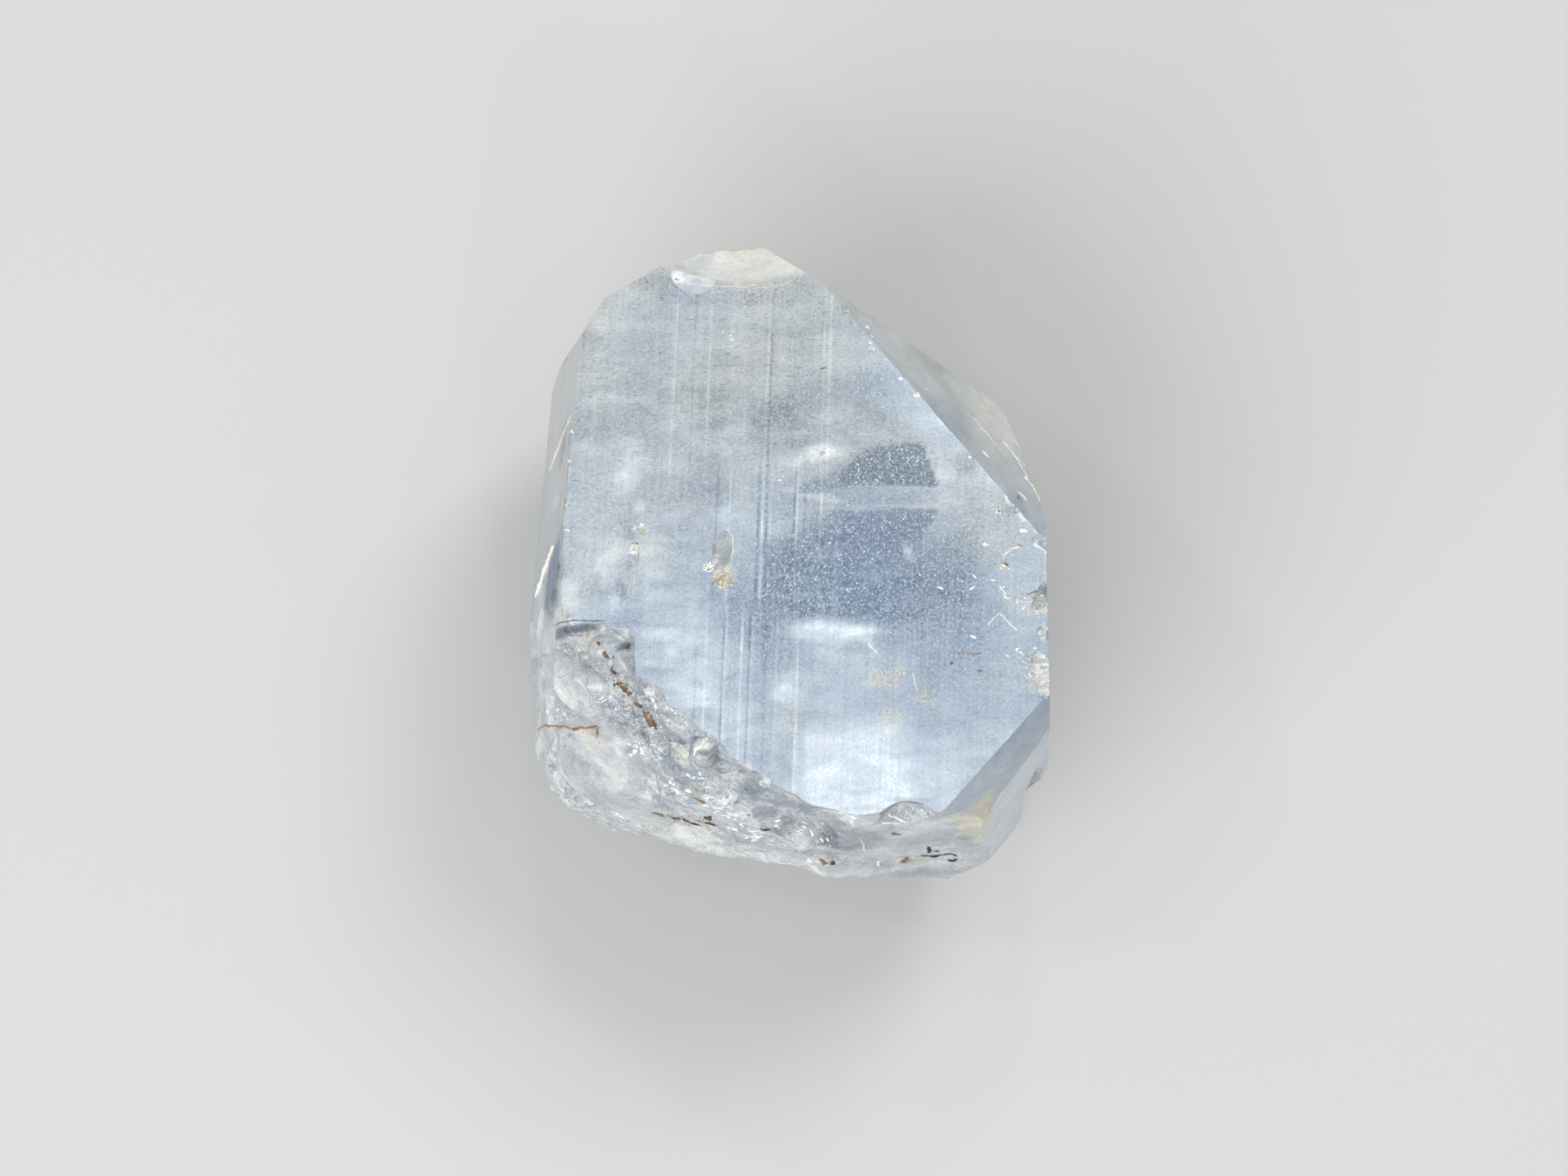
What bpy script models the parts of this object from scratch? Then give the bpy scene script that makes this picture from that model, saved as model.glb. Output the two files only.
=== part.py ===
"""Topaz crystal: one flattened prismatic crystal lying on a back prism face, with its base broken away.

The prism axis runs along Y, the termination is at +Y and the broken base at -Y. The two broad prism faces are
parallel: one lies on the ground and the other faces up. Every face of the crystal is a plane at its own
distance from the crystal's centre, and every break is a hollow ground out of the faces.
"""
import math

import bmesh
import bpy
from mathutils import Matrix, Vector

MM = 0.001
THICKNESS = 21.0 * MM
BLANK = 60.0 * MM
CENTRE = Vector((0.0, 0.0, 0.5 * THICKNESS))

# Faces: name, azimuth and dip of the outward direction in degrees (dip 0 looks up, 90 sideways, 180 down),
# and a point in millimetres that the face runs through.
FACES = (
    ("upper_prism", 0.0, 0.0, (0.0, 0.0, 21.0)),
    ("rest_prism", 0.0, 180.0, (0.0, 0.0, 0.0)),
    ("left_prism", 175.6, 78.0, (-11.88, 3.25, 21.0)),
    ("left_under", 176.0, 114.0, (-14.31, 2.04, 10.0)),
    ("upper_left_girdle", 165.0, 80.0, (-13.41, 11.84, 10.0)),
    ("upper_left_a", 151.0, 76.0, (-10.81, 11.44, 21.0)),
    ("upper_left_b", 121.0, 84.0, (-8.31, 13.94, 21.0)),
    ("tip", 95.0, 86.0, (-3.11, 16.54, 18.5)),
    ("end_steep", 55.0, 75.0, (1.94, 13.84, 21.0)),
    ("bevel_inner", 39.0, 47.0, (9.58, 4.47, 21.0)),
    ("bevel_outer", 38.0, 66.0, (11.49, 9.44, 15.0)),
    ("upper_right", 17.0, 84.0, (13.38, 5.26, 15.0)),
    ("right_prism", 0.0, 87.0, (14.24, -3.46, 21.0)),
    ("lower_right_bevel", -41.6, 60.0, (11.14, -13.06, 21.0)),
    ("lower_right_steep", -38.0, 83.0, (12.54, -14.86, 12.0)),
    ("base_right", -76.0, 86.0, (7.40, -17.62, 11.0)),
    ("base", -85.0, 85.0, (6.39, -16.41, 21.0)),
    ("base_left", -107.0, 82.0, (0.19, -15.56, 21.0)),
    ("corner_west", -171.0, 78.0, (-14.12, -8.60, 10.0)),
    ("corner", -130.0, 62.0, (-6.81, -10.56, 21.0)),
    ("base_under", -97.0, 118.0, (0.16, -17.54, 10.3)),
    ("right_under", -8.0, 112.0, (14.79, 0.54, 9.0)),
    ("end_under", 58.0, 115.0, (4.19, 16.04, 8.0)),
    ("upper_left_under", 130.0, 118.0, (-9.31, 15.54, 8.5)),
    ("lower_right_under", -45.0, 115.0, (13.09, -14.46, 9.5)),
    ("corner_under", -140.0, 118.0, (-12.94, -13.35, 9.84)),
)

# Breaks and chips: name, deepest point in millimetres, azimuth and dip of the way each one opens, turn of its
# length within the broken face, and the three radii of the hollow (along its length, across, and deep).
HOLLOWS = (
    ("tip_break", (-2.41, 15.20, 19.43), 90.0, 36.9, 0.0, 9.0, 9.0, 9.0),
    ("tip_flake", (-5.30, 14.20, 20.45), 100.0, 12.0, 8.0, 1.5, 0.8, 0.9),
    ("ledge", (-10.28, -7.81, 19.75), -90.0, 0.0, 0.0, 2.5, 2.3, 2.3),
    ("ledge_corner", (-12.30, -6.40, 19.70), 180.0, 30.0, 0.0, 1.4, 0.9, 1.3),
    ("fan", (-7.90, -10.30, 19.85), -130.0, 12.0, 0.0, 2.2, 2.4, 2.6),
    ("valley", (-7.40, -10.30, 18.05), -130.0, 55.0, -36.0, 4.9, 1.6, 1.7),
    ("lump_gap", (-12.20, -10.35, 14.55), -140.0, 62.0, 8.0, 2.6, 0.7, 0.9),
    ("nook", (-3.80, -13.25, 19.30), -110.0, 30.0, 0.0, 1.3, 1.1, 1.3),
    ("apron_west", (-3.60, -14.10, 17.30), -118.0, 72.0, 12.0, 3.6, 2.6, 3.4),
    ("apron_east", (0.40, -15.25, 16.60), -104.0, 76.0, 8.0, 4.2, 3.4, 4.2),
    ("apron_low", (2.60, -16.55, 13.60), -98.0, 88.0, 4.0, 4.0, 2.4, 3.0),
    ("half_moon", (6.45, -16.20, 19.40), -88.0, 40.0, 0.0, 1.90, 1.75, 1.75),
    ("base_notch", (6.95, -16.75, 12.40), -90.0, 82.0, 0.0, 0.55, 0.95, 0.75),
    ("base_shell", (9.30, -16.55, 15.40), -76.0, 72.0, 0.0, 2.8, 2.0, 3.2),
    ("corner_step", (13.05, -13.55, 12.20), -40.0, 80.0, 84.0, 4.6, 1.5, 1.9),
    ("right_chip_a", (13.25, -4.65, 20.45), 0.0, 40.0, 0.0, 0.95, 0.75, 0.80),
    ("right_chip_b", (13.30, -8.40, 20.40), 5.0, 40.0, 0.0, 1.15, 0.80, 0.85),
    ("right_chip_c", (13.60, -1.40, 20.70), 5.0, 38.0, 0.0, 0.60, 0.50, 0.55),
    ("bevel_chip_a", (3.05, 12.25, 20.70), 45.0, 20.0, 0.0, 0.55, 0.40, 0.50),
    ("bevel_chip_b", (4.05, 11.45, 20.72), 45.0, 20.0, 0.0, 0.45, 0.35, 0.45),
    ("toe_west", (-9.60, -14.62, 10.80), -108.0, 92.0, 0.0, 1.5, 1.2, 1.3),
    ("toe_east", (-2.30, -16.35, 10.90), -104.0, 94.0, 0.0, 2.2, 1.6, 2.0),
)

AROUND = 28
RINGS_PER_TURN = 58


def facing(azimuth, dip):
    """Unit direction with the given azimuth and dip, in degrees."""
    a = math.radians(azimuth)
    d = math.radians(dip)
    return Vector((math.sin(d) * math.cos(a), math.sin(d) * math.sin(a), math.cos(d)))


def cut_crystal():
    """A block about the crystal's centre, cut back to each face in turn and closed again."""
    bm = bmesh.new()
    bmesh.ops.create_cube(bm, size=BLANK, matrix=Matrix.Translation(CENTRE))
    for _, azimuth, dip, through in FACES:
        every = bm.verts[:] + bm.edges[:] + bm.faces[:]
        cut = bmesh.ops.bisect_plane(
            bm,
            geom=every,
            dist=1e-7,
            plane_co=Vector(through) * MM,
            plane_no=facing(azimuth, dip),
            clear_outer=True,
        )
        rim = [item for item in cut["geom_cut"] if isinstance(item, bmesh.types.BMEdge)]
        bmesh.ops.contextual_create(bm, geom=rim)
    bmesh.ops.recalc_face_normals(bm, faces=bm.faces[:])
    mesh = bpy.data.meshes.new("topaz_crystal")
    bm.to_mesh(mesh)
    bm.free()
    body = bpy.data.objects.new("topaz_crystal", mesh)
    bpy.context.scene.collection.objects.link(body)
    return body


def hollow_cutter(name, bottom, azimuth, dip, turn, length, across, deep):
    """An ellipsoid that reaches down to the bottom of a hollow, with a pole there."""
    out = facing(azimuth, dip)
    a = math.radians(azimuth)
    strike = Vector((-math.sin(a), math.cos(a), 0.0))
    upslope = out.cross(strike)
    t = math.radians(turn)
    along = strike * math.cos(t) + upslope * math.sin(t)
    beside = out.cross(along)
    axes = Matrix((along * length, beside * across, out * deep)).transposed().to_4x4()
    centre = (Vector(bottom) + out * deep) * MM
    place = Matrix.Translation(centre) @ axes @ Matrix.Scale(MM, 4)
    bm = bmesh.new()
    bmesh.ops.create_uvsphere(bm, u_segments=AROUND, v_segments=RINGS_PER_TURN // 2, radius=1.0, matrix=place)
    bmesh.ops.recalc_face_normals(bm, faces=bm.faces[:])
    mesh = bpy.data.meshes.new("cutter_" + name)
    bm.to_mesh(mesh)
    bm.free()
    cutter = bpy.data.objects.new("cutter_" + name, mesh)
    bpy.context.scene.collection.objects.link(cutter)
    cutter.hide_render = True
    cutter.display_type = "WIRE"
    return cutter


def take_away(body, cutters):
    """Cut every hollow out of the crystal and keep the result as plain mesh."""
    for cutter in cutters:
        cut = body.modifiers.new(cutter.name, "BOOLEAN")
        cut.operation = "DIFFERENCE"
        cut.solver = "EXACT"
        cut.object = cutter
        bpy.context.view_layer.update()
        depsgraph = bpy.context.evaluated_depsgraph_get()
        solved = bpy.data.meshes.new_from_object(body.evaluated_get(depsgraph))
        body.modifiers.remove(cut)
        spent = body.data
        body.data = solved
        bpy.data.meshes.remove(spent)
        used = cutter.data
        bpy.data.objects.remove(cutter, do_unlink=True)
        bpy.data.meshes.remove(used)
    body.data.name = "topaz_crystal"


def settle(body):
    """Move the mesh so that the middle of the foot of its box is at the origin."""
    corners = [v.co for v in body.data.vertices]
    low = Vector([min(c[i] for c in corners) for i in range(3)])
    high = Vector([max(c[i] for c in corners) for i in range(3)])
    foot = Vector(((low.x + high.x) / 2.0, (low.y + high.y) / 2.0, low.z))
    body.data.transform(Matrix.Translation(-foot))
    body.data.update()


def finish(body):
    """Give the crystal its clear material."""
    glass = bpy.data.materials.new("colourless_topaz")
    glass.use_nodes = True
    shader = next(n for n in glass.node_tree.nodes if n.type == "BSDF_PRINCIPLED")
    shader.inputs["Base Color"].default_value = (0.86, 0.90, 0.93, 1.0)
    shader.inputs["Roughness"].default_value = 0.18
    shader.inputs["IOR"].default_value = 1.62
    shader.inputs["Transmission Weight"].default_value = 1.0
    body.data.materials.clear()
    body.data.materials.append(glass)


def main():
    for existing in list(bpy.data.objects):
        bpy.data.objects.remove(existing, do_unlink=True)
    crystal = cut_crystal()
    cutters = [hollow_cutter(*row) for row in HOLLOWS]
    take_away(crystal, cutters)
    settle(crystal)
    finish(crystal)


main()
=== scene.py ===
"""A topaz crystal lying on its back prism face on a pale studio floor.

The crystal's skin is worked out with numpy: a ray runs from the middle of the crystal through every
point of a grid laid over a box, and stops at the nearest of the crystal's faces, breaks and hollows.
The faces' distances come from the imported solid. What is sealed in the crystal or sits in its cracks is
made as pieces of its own.
"""
import functools
import math

import bpy
import numpy as np
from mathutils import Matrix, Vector


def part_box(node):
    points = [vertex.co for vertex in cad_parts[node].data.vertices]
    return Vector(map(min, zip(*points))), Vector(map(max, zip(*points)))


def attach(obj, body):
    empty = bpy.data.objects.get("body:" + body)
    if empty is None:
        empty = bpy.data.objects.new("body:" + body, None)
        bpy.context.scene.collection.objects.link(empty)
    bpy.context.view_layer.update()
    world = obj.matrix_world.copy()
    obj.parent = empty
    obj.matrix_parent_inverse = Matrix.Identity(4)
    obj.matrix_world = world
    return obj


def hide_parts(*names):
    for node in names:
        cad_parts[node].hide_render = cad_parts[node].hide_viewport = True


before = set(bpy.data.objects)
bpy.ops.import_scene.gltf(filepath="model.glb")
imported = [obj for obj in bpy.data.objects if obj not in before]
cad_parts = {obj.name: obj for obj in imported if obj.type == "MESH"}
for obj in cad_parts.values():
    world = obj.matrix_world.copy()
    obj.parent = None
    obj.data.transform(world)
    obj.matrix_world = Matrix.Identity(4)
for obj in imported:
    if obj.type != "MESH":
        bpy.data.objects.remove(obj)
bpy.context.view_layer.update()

MM = 0.001
NODE = "topaz_crystal"
BODY = "root"
LOW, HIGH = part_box(NODE)
MIDDLE = (np.array(LOW) + np.array(HIGH)) / 2.0
TOP = HIGH.z
PRISM_TURN = math.radians(2.0)


# --------------------------------------------------------------------------------------------------
# Shader maths
# --------------------------------------------------------------------------------------------------


class Shade:
    """A socket of a material's node tree, which can be added, subtracted, multiplied and divided."""

    def __init__(self, tree, socket):
        self.tree = tree
        self.socket = socket

    def also(self, output):
        """Another output of the same node."""
        return Shade(self.tree, self.socket.node.outputs[output])

    def maths(self, operation, first, second=None):
        node = self.tree.nodes.new("ShaderNodeMath")
        node.operation = operation
        for slot, value in ((0, first), (1, second)):
            if value is not None:
                feed(self.tree, node.inputs[slot], value)
        return Shade(self.tree, node.outputs[0])

    def __add__(self, other):
        return self.maths("ADD", self, other)

    def __sub__(self, other):
        return self.maths("SUBTRACT", self, other)

    def __mul__(self, other):
        return self.maths("MULTIPLY", self, other)

    def __truediv__(self, other):
        return self.maths("DIVIDE", self, other)

    __radd__ = __add__
    __rmul__ = __mul__

    def __rsub__(self, other):
        return self.maths("SUBTRACT", other, self)

    def least(self, other):
        return self.maths("MINIMUM", self, other)

    def most(self, other):
        return self.maths("MAXIMUM", self, other)

    def size(self):
        return self.maths("ABSOLUTE", self)

    def fraction(self):
        return self.maths("FRACT", self)

    def clamp(self):
        return self.least(1.0).most(0.0)

    def step(self, start, end):
        """0 below start and 1 above end, with a smooth rise between them."""
        settings = {"interpolation_type": "SMOOTHSTEP", "clamp": True}
        inputs = {"Value": self, "From Min": start, "From Max": end}
        return add_node(self.tree, "MapRange", settings, **inputs)


def feed(tree, socket, value):
    """Link a socket to another one, or set its number, vector or colour."""
    if isinstance(value, Shade):
        tree.links.new(value.socket, socket)
    elif isinstance(value, (int, float)):
        socket.default_value = value
    else:
        size = len(socket.default_value)
        socket.default_value = tuple(value) + (1.0,) * (size - len(value))


def set_stops(ramp, stops):
    """Give a colour ramp its stops, each a place and a shade of grey."""
    first, *others = stops
    ramp.elements.remove(ramp.elements[1])
    ramp.elements[0].position = first[0]
    ramp.elements[0].color = (first[1], first[1], first[1], 1.0)
    for place, grey in others:
        stop = ramp.elements.new(place)
        stop.color = (grey, grey, grey, 1.0)


def add_node(tree, kind, settings=None, output=0, **inputs):
    """Add any node but Math: its type, its settings or stops first, then numbers, colours or links for
    its sockets."""
    node = tree.nodes.new("ShaderNode" + kind)
    for name, value in (settings or {}).items():
        if name == "stops":
            set_stops(node.color_ramp, value)
        else:
            setattr(node, name, value)
    for name, value in inputs.items():
        socket = next(s for s in node.inputs if s.enabled and name in (s.identifier, s.name))
        feed(tree, socket, value)
    return Shade(tree, node.outputs[output])


# The place of the colour among a Mix node's outputs, which all have the same name.
MIXED_COLOUR = 2


class Finish:
    """A material that is being made, with the sockets that its patterns start from."""

    def __init__(self, name):
        self.material = bpy.data.materials.new(name)
        self.material.use_nodes = True
        self.tree = self.material.node_tree
        self.tree.nodes.clear()
        place = self.add("TexCoord", output="Object")
        self.place = self.add("VectorMath", {"operation": "SCALE"}, Vector=place, Scale=1.0 / MM)

    def add(self, kind, settings=None, output=0, **inputs):
        return add_node(self.tree, kind, settings, output, **inputs)

    def attribute(self, name):
        return self.add("Attribute", {"attribute_name": name}, output="Fac")

    def stretched(self, size, turn=0.0):
        """The place in millimetres, turned about Z and divided by a size along each axis."""
        turned = self.add("Mapping", Vector=self.place, Rotation=(0.0, 0.0, turn))
        return self.add("VectorMath", {"operation": "DIVIDE"}, **{"Vector": turned, "Vector_001": size})

    def noise(self, size, turn=0.0, detail=2.0, roughness=0.5, distortion=0.0):
        """Cloudy noise with features of the given size in millimetres along X, Y and Z."""
        where = self.stretched(size, turn)
        looks = dict(Detail=detail, Roughness=roughness, Distortion=distortion)
        return self.add("TexNoise", Vector=where, Scale=1.0, **looks)

    def chips(self, size, warp):
        """Flat chips of the given size, torn by noise: each one's own tone between 0 and 1, and the
        height of its flat, a dot product of a tilt of its own with the way from its seed."""
        where = self.stretched(size)
        drift = self.add("TexNoise", dict(noise_dimensions="3D"), "Color", Vector=where)
        spot = self.vector("ADD", where, self.vector("SCALE", drift, Scale=warp))
        cells = self.add("TexVoronoi", dict(feature="F1"), "Color", Vector=spot, Scale=1.0)
        seed = cells.also("Position")
        tilt = self.vector("SUBTRACT", cells, (0.5, 0.5, 0.5))
        tone = self.add("SeparateXYZ", Vector=cells)
        return tone, self.vector("DOT_PRODUCT", tilt, self.vector("SUBTRACT", spot, seed), output="Value")

    def vector(self, operation, first, second=None, output="Vector", **inputs):
        """Add a Vector Math node."""
        if second is not None:
            inputs["Vector_001"] = second
        return self.add("VectorMath", dict(operation=operation), output, Vector=first, **inputs)

    def blend(self, factor, first, second):
        """Mix two colours."""
        settings = {"data_type": "RGBA", "clamp_factor": True}
        inputs = {"Factor_Float": factor, "A_Color": first, "B_Color": second}
        return self.add("Mix", settings, MIXED_COLOUR, **inputs)

    def bump(self, height, distance, strength):
        return self.add("Bump", Height=height, Distance=distance, Strength=strength)

    def surface(self, shader, volume=None):
        out = self.tree.nodes.new("ShaderNodeOutputMaterial")
        feed(self.tree, out.inputs["Surface"], shader)
        if volume is not None:
            feed(self.tree, out.inputs["Volume"], volume)
        return self.material


# --------------------------------------------------------------------------------------------------
# Shapes
# --------------------------------------------------------------------------------------------------


def facing(azimuth, dip):
    """Unit direction: azimuth counted from +X towards +Y, dip 0 looking up and 180 looking down, in
    degrees."""
    a = math.radians(azimuth)
    d = math.radians(dip)
    return np.array([math.sin(d) * math.cos(a), math.sin(d) * math.sin(a), math.cos(d)])


def axes_of(azimuth, dip, turn):
    """Three unit rows: along a face, across it and out of it. Turn 0 has the first one level."""
    out = facing(azimuth, dip)
    a = math.radians(azimuth)
    strike = np.array([-math.sin(a), math.cos(a), 0.0])
    upslope = np.cross(out, strike)
    t = math.radians(turn)
    along = strike * math.cos(t) + upslope * math.sin(t)
    return np.array([along, np.cross(out, along), out])


# How far each seed moves the lattices of the smooth noise and of the plates, in cells.
NOISE_SHIFT = 17.31
PLATE_SHIFT = 9.17


def lattice_number(cell, seed):
    """A number between 0 and 1 for each whole-number place: its coordinates and the seed are
    multiplied by large odd numbers, folded together and stirred twice."""
    mixed = (cell[:, 0] * 73856093) ^ (cell[:, 1] * 19349663) ^ (cell[:, 2] * 83492791)
    mixed = (mixed ^ (seed * 668265263)) & 0xFFFFFFFF
    mixed = ((mixed ^ (mixed >> 15)) * 0x2C1B3C6D) & 0xFFFFFFFF
    mixed = ((mixed ^ (mixed >> 12)) * 0x297A2D39) & 0xFFFFFFFF
    return ((mixed ^ (mixed >> 15)) & 0xFFFFFF) / 16777215.0


def noise_at(points, size, seed):
    """Smooth noise between -1 and 1: a number for each corner of a cubic lattice with cells of the
    given size, blended over each cell by 6t^5 - 15t^4 + 10t^3."""
    scaled = points / size + NOISE_SHIFT * seed
    cell = np.floor(scaled).astype(np.int64)
    t = scaled - cell
    t = t * t * t * (t * (t * 6.0 - 15.0) + 10.0)
    total = np.zeros(len(points))
    for corner in range(8):
        step = np.array([corner & 1, (corner >> 1) & 1, (corner >> 2) & 1])
        value = lattice_number(cell + step, seed) * 2.0 - 1.0
        total += value * np.prod(np.where(step == 1, t, 1.0 - t), axis=1)
    return total


def plates_at(points, size, seed):
    """Height of a surface shattered into flat plates, between about -1 and 1: each point belongs to
    the nearest of the seeds scattered one to a lattice cell, and lies on a plane through it with a
    tilt of its own."""
    scaled = points / size + PLATE_SHIFT * seed
    cell = np.floor(scaled).astype(np.int64)
    best = np.full(len(points), np.inf)
    height = np.zeros(len(points))
    for corner in range(27):
        key = cell + np.array([corner % 3 - 1, corner // 3 % 3 - 1, corner // 9 - 1])
        away = scaled - key - np.stack([lattice_number(key, seed + k) for k in range(3)], axis=1)
        tilt = np.stack([lattice_number(key, seed + k) for k in range(3, 6)], axis=1) * 2.0 - 1.0
        far = (away * away).sum(1)
        nearer = far < best
        best = np.where(nearer, far, best)
        height = np.where(nearer, (away * tilt).sum(1), height)
    return height


def cloud_at(points, size, seed, octaves=3):
    """Sum of noises, each with half the cell size and half the height of the one before."""
    total = np.zeros(len(points))
    for octave in range(octaves):
        total += noise_at(points, size * 0.5 ** octave, seed + octave) * 0.5 ** octave
    return total


def drifted(points, size, push, seed):
    """Points pushed about by noise, which tears the edges of whatever is drawn on them."""
    return points + np.stack([noise_at(points, size, seed + k) for k in range(3)], axis=1) * push


def rise(value, start, end):
    """0 below start, 1 above end, and 3t^2 - 2t^3 between them."""
    t = np.clip((value - start) / (end - start), 0.0, 1.0)
    return t * t * (3.0 - 2.0 * t)


def unit(vectors):
    return vectors / np.linalg.norm(vectors, axis=1)[:, None]


def new_mesh(name, points, faces, smooth=True):
    """A mesh from arrays of points and of triangles or quads."""
    mesh = bpy.data.meshes.new(name)
    width = faces.shape[1]
    mesh.vertices.add(len(points))
    mesh.vertices.foreach_set("co", np.asarray(points, np.float32).ravel())
    mesh.loops.add(faces.size)
    mesh.loops.foreach_set("vertex_index", faces.astype(np.int32).ravel())
    mesh.polygons.add(len(faces))
    mesh.polygons.foreach_set("loop_start", np.arange(0, faces.size, width, dtype=np.int32))
    mesh.update(calc_edges=True)
    mesh.validate()
    mesh.polygons.foreach_set("use_smooth", np.full(len(faces), smooth))
    return mesh


def new_piece(name, mesh, material):
    """An object for a finished mesh, riding on the frame's one body."""
    piece = bpy.data.objects.new(name, mesh)
    bpy.context.scene.collection.objects.link(piece)
    mesh.materials.append(material)
    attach(piece, BODY)
    return piece


# --------------------------------------------------------------------------------------------------
# The crystal's faces, breaks and hollows
# --------------------------------------------------------------------------------------------------

# Natural faces: azimuth and dip of each one, how frosted it is, and how milky it looks, 0 clear and 1
# white. Its distance from the middle comes from the imported solid. The under faces are given more milk as
# painted light, against the shade of the floor beneath them.
NATURAL_FACES = {
    "upper_prism": (0.0, 0.0, 1.0, 0.485),
    "rest_prism": (0.0, 180.0, 0.8, 0.5),
    "left_prism": (175.6, 78.0, 0.45, 0.52),
    "left_under": (176.0, 114.0, 0.25, 0.5),
    "upper_left_girdle": (165.0, 80.0, 0.5, 0.52),
    "upper_left_a": (151.0, 76.0, 0.5, 0.62),
    "upper_left_b": (121.0, 84.0, 0.5, 0.68),
    "tip": (95.0, 86.0, 0.5, 0.72),
    "end_steep": (55.0, 75.0, 0.45, 0.62),
    "bevel_inner": (39.0, 47.0, 0.4, 0.67),
    "bevel_outer": (38.0, 66.0, 0.45, 0.84),
    "upper_right": (17.0, 84.0, 0.4, 0.7),
    "right_prism": (0.0, 87.0, 0.4, 0.66),
    "lower_right_bevel": (-41.6, 60.0, 0.38, 0.58),
    "lower_right_steep": (-38.0, 83.0, 0.5, 0.85),
    # The under faces' milk is raised as painted light.
    "right_under": (-8.0, 112.0, 0.25, 0.48),
    "end_under": (58.0, 115.0, 0.25, 0.5),
    "upper_left_under": (130.0, 118.0, 0.25, 0.52),
    "lower_right_under": (-45.0, 115.0, 0.25, 0.5),
}

# Broken faces: azimuth, dip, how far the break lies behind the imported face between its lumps, in
# millimetres, and how much it wanders.
BROKEN_FACES = {
    "base_right": (-76.0, 86.0, 0.1, 0.14),
    "base": (-85.0, 85.0, 0.15, 0.22),
    "base_left": (-107.0, 82.0, 0.2, 0.3),
    "corner_west": (-171.0, 78.0, 0.25, 0.26),
    "corner": (-130.0, 62.0, 0.7, 0.3),
    "base_under": (-97.0, 118.0, 0.2, 0.26),
    "corner_under": (-140.0, 118.0, 0.15, 0.26),
}

# Rounded lumps that stand out of the broken corner: middle in millimetres, azimuth, dip and turn of their
# axes, and radii along, across and out.
LUMPS = {
    "west_lump": ((-10.6, -7.3, 16.7), -148.0, 60.0, 10.0, (2.5, 2.5, 2.35)),
    "corner_lump": ((-9.25, -10.35, 12.6), -130.0, 62.0, 0.0, (3.9, 4.3, 3.3)),
    "foot_lump": ((-7.5, -12.6, 11.8), -112.0, 74.0, 0.0, (3.0, 2.6, 2.3)),
}

# Glassy knobs left standing in the breaks, given like the lumps.
KNOBS = {
    "glass_knob": ((-4.48, -12.9, 19.85), 0.0, 0.0, 0.0, (0.78, 0.78, 1.12)),
    "ledge_knob": ((-9.8, -6.85, 19.8), -90.0, 20.0, 10.0, (0.9, 0.78, 0.82)),
    "ledge_shard": ((-8.85, -7.55, 19.95), -90.0, 10.0, -58.0, (1.25, 0.5, 0.8)),
}

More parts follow.
